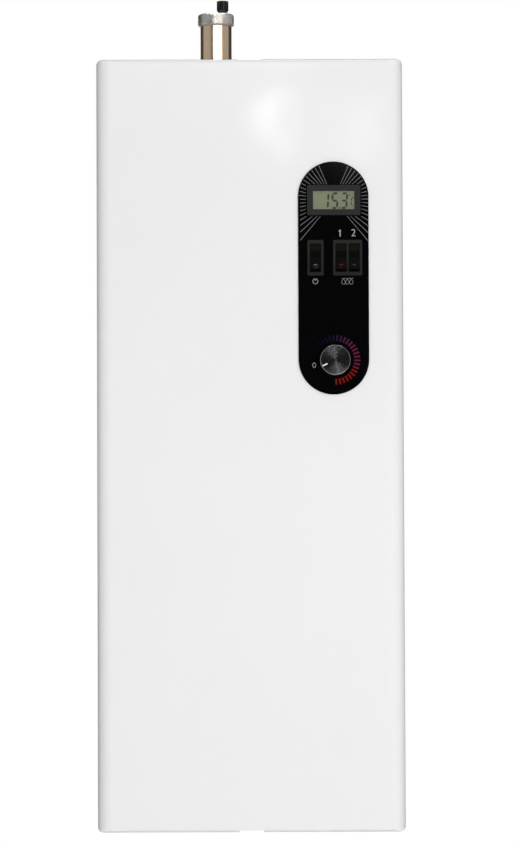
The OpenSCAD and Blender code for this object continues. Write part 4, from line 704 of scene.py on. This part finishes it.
dark_spun = spun_face("dark_spun_aluminium", (0.15, 0.15, 0.155), 0.16, at_knob, 0.16)
bright_cut = metal("bright_cut_edge", (0.34, 0.34, 0.33), 0.16, (1, 1, 1), 300.0, 0.000004, 0.05)
pointer_white = moulded("pointer_white", (0.80, 0.80, 0.78), 0.42)
settle(edge, bright_cut, "thermostat_knob")
settle(face, dark_spun, "thermostat_knob", smooth=5)
settle(pointer, pointer_white, "thermostat_knob")

# %% [markdown]
# ## The display
# The display is a reflective liquid crystal behind a clear window. Its
# figures are seven straight segments with pointed ends, so one segment is
# modelled and copied to every place that is on. The picture shows 15.3 and a
# small unit sign. The segments lean by four degrees and stand just off the
# greenish screen, as the crystal layer does. A thinner window goes in front.

# %% Model one segment
low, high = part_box("display_window")
display_x, display_z = [(low[i] + high[i]) / 2 / MM for i in (0, 2)]
window_front, screen_front = low[1] / MM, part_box("display_screen")[0][1] / MM
LEAN = math.radians(4)

bpy.ops.object.select_all(action="DESELECT")
bpy.ops.mesh.primitive_circle_add(vertices=6, radius=MM, fill_type="NGON",
                                  rotation=(math.pi / 2, math.pi / 2, 0))
segment = bpy.context.object
edit(segment)
bpy.ops.mesh.extrude_region_move(TRANSFORM_OT_translate={"value": (0, 0.1 * MM, 0)})
bpy.ops.mesh.select_all(action="SELECT")
bpy.ops.mesh.normals_make_consistent(inside=False)
bpy.ops.object.mode_set(mode="OBJECT")
bpy.ops.object.transform_apply(location=True, rotation=True, scale=True)
print("segment size in mm:", [round(v / MM, 2) for v in segment.dimensions])

# %% Copy and join
def copied(piece, name):
    """A copy of the piece, with its own mesh."""
    twin = bpy.data.objects.new(name, piece.data.copy())
    bpy.context.scene.collection.objects.link(twin)
    twin.matrix_world = piece.matrix_world.copy()
    return twin


def joined(pieces, name):
    """All the pieces as one object under a new name."""
    bpy.ops.object.select_all(action="DESELECT")
    for piece in pieces:
        piece.select_set(True)
    bpy.context.view_layer.objects.active = pieces[0]
    bpy.ops.object.join()
    pieces[0].name = name
    return pieces[0]


print("copy and join are ready")

# %% Place the segments that are on
ON = {"1": "bc", "5": "acdfg", "3": "abcdg", "o": "abgf", "c": "adef"}
# How far across and up its figure each segment is, in halves, and whether it is upright
PLACES = {"a": (0, 1, 0), "g": (0, 0, 0), "d": (0, -1, 0),
          "f": (-1, 0.5, 1), "b": (1, 0.5, 1), "e": (-1, -0.5, 1), "c": (1, -0.5, 1)}


def figure(sign, x, z, wide, tall, thick):
    """The segments of one figure that are on, centred at x and z. All sizes are in mm."""
    lit = []
    for name in ON[sign]:
        across, up, upright = PLACES[name]
        part = copied(segment, "segment")
        length = (tall / 2 if upright else wide) - 0.35
        lift = up * tall / 2
        part.scale = (length / 2, 1, thick / math.sqrt(3))
        part.rotation_euler = (0, LEAN - math.pi / 2 if upright else 0, 0)
        part_x = x + across * wide / 2 + lift * math.tan(LEAN)
        part.location = Vector((part_x, screen_front - 0.1, z + lift)) * MM
        lit.append(part)
    return lit


figure_z, TALL, STROKE = display_z - 0.4, 12.8, 1.85
figures = figure("1", display_x - 7.2, figure_z, 4.6, TALL, STROKE)
figures += figure("5", display_x + 1.0, figure_z, 4.5, TALL, STROKE)
figures += figure("3", display_x + 9.2, figure_z, 4.5, TALL, STROKE)
figures += figure("o", display_x + 14.0, figure_z + 4.4, 1.1, 2.2, 0.5)
figures += figure("c", display_x + 16.4, figure_z - 0.8, 1.9, 6.6, 0.85)
point = copied(segment, "point")
point.scale = (0.75, 1, 0.75)
point.location = Vector((display_x + 5.1, screen_front - 0.1, figure_z - TALL / 2)) * MM
figures = joined(figures + [point], "display_figures")
crystal = moulded("dark_crystal", (0.055, 0.085, 0.055), 0.4, 500.0, 0.000002, shine=0.1)
settle(figures, crystal, "boiler")
bpy.data.objects.remove(segment)

# %% The thin clear window
bpy.ops.object.select_all(action="DESELECT")
bpy.ops.mesh.primitive_cube_add(size=MM, location=(0, 0, 0))
window = bpy.context.object
window.name = "display_glass"
edit(window)
bpy.ops.transform.resize(value=(high[0] / MM - low[0] / MM, 0.9, high[2] / MM - low[2] / MM))
bpy.ops.transform.translate(value=(display_x * MM, (window_front + 0.45) * MM, display_z * MM))
pick(lambda p, n: n.y < -0.9)
bpy.ops.mesh.inset(thickness=0.4 * MM)
bpy.ops.transform.translate(value=(0, -0.15 * MM, 0))
settle(window, finishes["window_clear"], "boiler", "display_window", smooth=20)

# %% [markdown]
# ## The printed rays, signs and numbers
# What is printed on the panel is thinner than a hair. Each mark is a sheet a
# twentieth of a millimetre thick that lies on the panel, so that it keeps
# crisp edges at any size. The rays fan out evenly from behind the display and
# end just inside the panel's edge: a ray's end is where its line meets the
# panel's round outline, which a little geometry gives.

# %% Fan the rays round the display
INK = 0.05  # thickness of a printed mark in mm
RAYS, FIRST_RAY, RAY_STEP, RAY_WIDTH = 19, -50, 6.5, 0.34
panel_low, panel_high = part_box("control_panel")
panel_x = (panel_low[0] + panel_high[0]) / 2 / MM
panel_top, panel_face = panel_high[2] / MM, panel_low[1] / MM
panel_r = (panel_high[0] - panel_low[0]) / 2 / MM
low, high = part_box("display_case")
half_w, half_h = [(high[i] - low[i]) / 2 / MM + 0.9 for i in (0, 2)]


def ray_ends(angle):
    """Distances from the display's middle at which a ray leaves its frame and meets the panel's rim."""
    across, up = math.cos(angle), math.sin(angle)
    start = min(half_w / max(abs(across), 1e-6), half_h / max(abs(up), 1e-6))
    round_x, round_z, rim = panel_x - display_x, panel_top - panel_r - display_z, panel_r - 1.1
    along = round_x * across + round_z * up
    end = along + math.sqrt(along ** 2 + rim ** 2 - round_x ** 2 - round_z ** 2)
    if end * up < round_z:
        end = (rim + math.copysign(round_x, across)) / abs(across)
    return start, end


bpy.ops.object.select_all(action="DESELECT")
bpy.ops.mesh.primitive_plane_add(size=MM)
ray_line = bpy.context.object
edit(ray_line)
bpy.ops.transform.translate(value=(0.5 * MM, 0, 0))
pick(lambda p: p.x > 0.5 * MM, points=True)
bpy.ops.transform.resize(value=(1, 1.5, 1))
bpy.ops.mesh.select_all(action="SELECT")
bpy.ops.mesh.extrude_region_move(TRANSFORM_OT_translate={"value": (0, 0, INK * MM)})
bpy.ops.mesh.select_all(action="SELECT")
bpy.ops.mesh.normals_make_consistent(inside=False)
bpy.ops.object.mode_set(mode="OBJECT")
rays = []
for degrees in [FIRST_RAY + RAY_STEP * i for i in range(RAYS)]:
    for angle in (math.radians(degrees), math.radians(180 - degrees)):
        start, end = ray_ends(angle)
        if end - start > 1.5:
            ray = copied(ray_line, "ray")
            ray.scale = (end - start, RAY_WIDTH, 1)
            ray.rotation_euler = (math.pi / 2, -angle, 0)
            ray_x, ray_z = display_x + start * math.cos(angle), display_z + start * math.sin(angle)
            ray.location = Vector((ray_x, panel_face, ray_z)) * MM
            rays.append(ray)
print(len(rays), "rays")
rays = joined(rays, "panel_rays")
silver_print = moulded("silver_print", (0.17, 0.17, 0.185), 0.45, 500.0, 0.000002, shine=0.1)
settle(rays, silver_print, "boiler")
bpy.data.objects.remove(ray_line)

# %% [markdown]
# ## The dial's marks
# Twenty-eight short bars stand round the knob, from its zero on the left,
# over the top and down the right. They run from a blue that hardly shows to
# purple, crimson and orange. One bar is modelled, and each copy in the same
# mesh is turned a little further round. Seen by the camera, the dial's middle
# is a little above and to the right of the knob's. The colours need only one
# finish: it works out each point's angle round the knob, and looks the colour
# up on a ramp.

# %% Model one bar and turn its copies round
knob_x, knob_z = knob
dial_x, dial_z = knob_x + 0.3, knob_z + 0.7
BARS, FIRST, LAST = 28, 172, -88  # degrees, anticlockwise from the right
REACH_OUT = 19.2  # mm from the dial's middle to a bar's middle
bpy.ops.object.select_all(action="DESELECT")
bpy.ops.mesh.primitive_plane_add(size=MM)
bars = bpy.context.object
bars.name = "dial_bars"
edit(bars)
bpy.ops.transform.resize(value=(5.4, 1.7, 1))
bpy.ops.mesh.bevel(offset=0.3 * MM, segments=2, affect="VERTICES")
bpy.ops.mesh.select_all(action="SELECT")
bpy.ops.mesh.extrude_region_move(TRANSFORM_OT_translate={"value": (0, 0, INK * MM)})
bpy.ops.mesh.select_all(action="SELECT")
bpy.ops.transform.translate(value=(REACH_OUT * MM, 0, 0))
bpy.ops.transform.rotate(value=-math.radians(FIRST), orient_axis="Z", center_override=(0, 0, 0))
for i in range(BARS - 1):
    bpy.ops.mesh.duplicate()
    turn = math.radians((FIRST - LAST) / (BARS - 1))
    bpy.ops.transform.rotate(value=turn, orient_axis="Z", center_override=(0, 0, 0))
bpy.ops.mesh.select_all(action="SELECT")
bpy.ops.mesh.normals_make_consistent(inside=False)
bpy.ops.object.mode_set(mode="OBJECT")
bars.location, bars.rotation_euler = Vector((dial_x, panel_face, dial_z)) * MM, TO_FRONT
print(BARS, "bars with", len(bars.data.polygons), "faces")

# %% Colour them by their angle
dial = Finish("dial_print", (0.2, 0.02, 0.05), 0.45, Specular_IOR_Level=0.0)
middle_of_dial = (dial_x * MM, 0, dial_z * MM)
spot = dial.node("VectorMath", {"operation": "SUBTRACT"}, {0: dial.place, 1: middle_of_dial}, "Vector")
across = dial.node("SeparateXYZ", {}, {0: spot}, "X")
upwards = dial.node("SeparateXYZ", {}, {0: spot}, "Z")
RAMP_FROM, RAMP_SPAN = -1.6, 4.8  # radians
share = (dial.math("ARCTAN2", upwards, across) - RAMP_FROM) / RAMP_SPAN
DIAL_STOPS = [(0.0, (0.14, 0.011, 0.006)), (0.17, (0.17, 0.008, 0.007)), (0.235, (0.17, 0.009, 0.007)),
              (0.25, (0.115, 0.010, 0.034)), (0.33, (0.10, 0.010, 0.036)), (0.50, (0.09, 0.012, 0.040)),
              (0.60, (0.034, 0.012, 0.038)), (0.68, (0.008, 0.006, 0.019)), (0.85, (0.0020, 0.0020, 0.0052)),
              (1.0, (0.0012, 0.0012, 0.0030))]
share = share + (dial.noise(700.0) - 0.5) * 0.01
dial.set({"Base Color": dial.node("ValToRGB", {"stops": DIAL_STOPS}, {"Fac": share}, "Color")})
dial.set({"Roughness": dial.noise(400.0) * 0.2 + 0.35})
settle(bars, dial, "boiler")

# %% [markdown]
# ## Numbers and signs
# The 2 is text turned into a mesh. The other marks are lines of one width, so
# each is drawn as a curve that runs through points, with a round bevel, and
# then pressed flat: the upper half of the line lies on the panel like ink.
# The sign for power is a ring with a short bar in its gap. The sign for heat
# is a coil seen from the side. A wire that goes round and moves along at the
# same time draws a trochoid, so two lines of trigonometry give its three
# hanging loops and both of its ends.

# %% Draw lines of ink
def ink(name, strokes, place, finish):
    """Strokes are lists of points, in mm from place, each with its line's width and whether it is closed."""
    lines = []
    for points, width, closed in strokes:
        curve = bpy.data.curves.new(name, "CURVE")
        curve.dimensions, curve.bevel_depth, curve.bevel_resolution = "3D", width / 2 * MM, 3
        curve.use_fill_caps = not closed
        line = curve.splines.new("POLY")
        line.points.add(len(points) - 1)
        line.use_cyclic_u = closed
        for point, (x, z) in zip(line.points, points):
            point.co = (x * MM, 0, z * MM, 1)
        drawn = bpy.data.objects.new(name, curve)
        bpy.context.scene.collection.objects.link(drawn)
        bpy.ops.object.select_all(action="DESELECT")
        drawn.select_set(True)
        bpy.context.view_layer.objects.active = drawn
        bpy.ops.object.convert(target="MESH")
        lines.append(bpy.context.object)
    mark = joined(lines, name)
    edit(mark)
    bpy.ops.mesh.remove_doubles(threshold=1e-7)
    bpy.ops.transform.resize(value=(1, INK / strokes[0][1], 1))
    bpy.ops.mesh.normals_make_consistent(inside=False)
    bpy.ops.object.mode_set(mode="OBJECT")
    mark.location = Vector((place[0], panel_face, place[1])) * MM
    settle(mark, finish, "boiler")


def oval(half_w, half_h, first=0, last=360, steps=48):
    """Points of an oval from the angle first to last, in degrees."""
    turns = [math.radians(first + (last - first) * i / steps) for i in range(steps + (last - first < 360))]
    return [(half_w * math.cos(a), half_h * math.sin(a)) for a in turns]


print("pen ready")

# %% Draw the signs, the 1 and the 0
white_print = moulded("white_print", (0.37, 0.37, 0.38), 0.45, 500.0, 0.000002, shine=0.1)
grey_print = moulded("grey_print", (0.29, 0.30, 0.295), 0.45, 500.0, 0.000002, shine=0.1)
switches = {name: [(a + b) / 2 / MM for a, b in zip(*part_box(name))] for name in
            ("power_rocker", "stage_rocker_1", "stage_rocker_2", "power_switch_frame", "stage_switch_frame")}
switch_z = switches["power_switch_frame"][2]
SIGN_DROP, NUMBER_RISE = 20.6, 21.7  # mm from the switches' middle
sign_z, numbers_z = switch_z - SIGN_DROP, switch_z + NUMBER_RISE
ink("power_sign", [(oval(2.2, 2.2, 104, 436), 0.5, False), ([(0, 2.5), (0, 0.4)], 0.5, False)],
    (switches["power_rocker"][0] - 0.2, sign_z), grey_print)
PITCH, REACH, HEIGHT = 3.45, 2.2, 2.65
LOOPS, STEPS = 3, 120
coil = []
for i in range(STEPS + 1):
    a = math.tau * LOOPS * i / STEPS
    moved = PITCH * (a / math.tau - LOOPS / 2)
    coil.append((moved + REACH * (math.sin(a) - 0.08 * math.sin(2 * a)), HEIGHT * math.cos(a)))
ink("heat_sign", [(coil, 0.28, False)], (switches["stage_switch_frame"][0] - 0.3, sign_z), grey_print)
ink("number_1", [([(0, 3.1), (0, -3.1)], 0.9, False), ([(0.1, 2.6), (-1.4, 1.7)], 0.65, False)],
    (switches["stage_rocker_1"][0] - 0.7, numbers_z), white_print)
zero = math.radians(193.9)
ink("number_0", [(oval(1.35, 2.1), 0.5, True)],
    (dial_x + REACH_OUT * math.cos(zero), dial_z + REACH_OUT * math.sin(zero)), grey_print)

# %% Set the 2 as text
bpy.ops.object.select_all(action="DESELECT")
two_at = Vector((switches["stage_rocker_2"][0] - 0.5, panel_face - INK / 2, numbers_z)) * MM
bpy.ops.object.text_add(location=two_at, rotation=TO_FRONT)
two = bpy.context.object
two.data.body, two.data.align_x, two.data.align_y = "2", "CENTER", "CENTER"
two.data.size, two.data.extrude, two.data.offset = 9.2 * MM, INK / 2 * MM, -0.08 * MM
bpy.ops.object.convert(target="MESH")
two = bpy.context.object
two.name = "number_2"
edit(two)
bpy.ops.mesh.remove_doubles(threshold=1e-7)
bpy.ops.mesh.normals_make_consistent(inside=False)
settle(two, white_print, "boiler")

# %% [markdown]
# ## The three lamp lenses
# Each rocker has a small domed lens near its lower end. In the picture the
# power lens is a dark red with a white glint, the first stage's lens is a
# brighter red and the second stage's lens is off. One dome is turned and
# copied, and each copy takes its place from the CAD lens that it stands for.
# Its tilt is that of the rocker's lower half and as much again.

# %% Turn one lens and set three
def lens_finish(name, colour, glow, gloss):
    finish = moulded(name, colour, 0.12, 300.0, 0.000004, 0.03, gloss)
    finish.set({"Emission Color": finish.colour, "Emission Strength": glow})
    return finish


TILT = math.radians(12)
STANDS_OUT = 1.2  # mm from the middle of the CAD lens
lens_profile = [(0, -1.4), (2.1, -1.4), (2.1, 0), (1.97, 0.25), (1.5, 0.5), (0.8, 0.66), (0, 0.7)]
lens = turned("lens", lens_profile, sides=48)
lit = lens_finish("red_lens_lit", (0.013, 0.0004, 0.002), 0.2, 0.16)
dim = lens_finish("red_lens_dim", (0.024, 0.0004, 0.001), 0.2, 0.03)
off = lens_finish("brown_lens_off", (0.004, 0.0024, 0.0022), 0.0, 0.05)
for name, body, finish in (("power_lamp", "power_rocker", lit), ("stage_lamp_1", "stage_rocker_1", dim),
                           ("stage_lamp_2", "stage_rocker_2", off)):
    low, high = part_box(name)
    dome = copied(lens, name + "_dome")
    dome.rotation_euler, dome.scale = (math.pi / 2 - 2 * TILT, 0, 0), (1.2, 1.22, 1)
    outwards = Vector((0, -math.cos(TILT), math.sin(TILT)))
    dome.location = (Vector(low) + Vector(high)) / 2 + outwards * STANDS_OUT * MM
    settle(dome, finish, body, name)
bpy.data.objects.remove(lens)
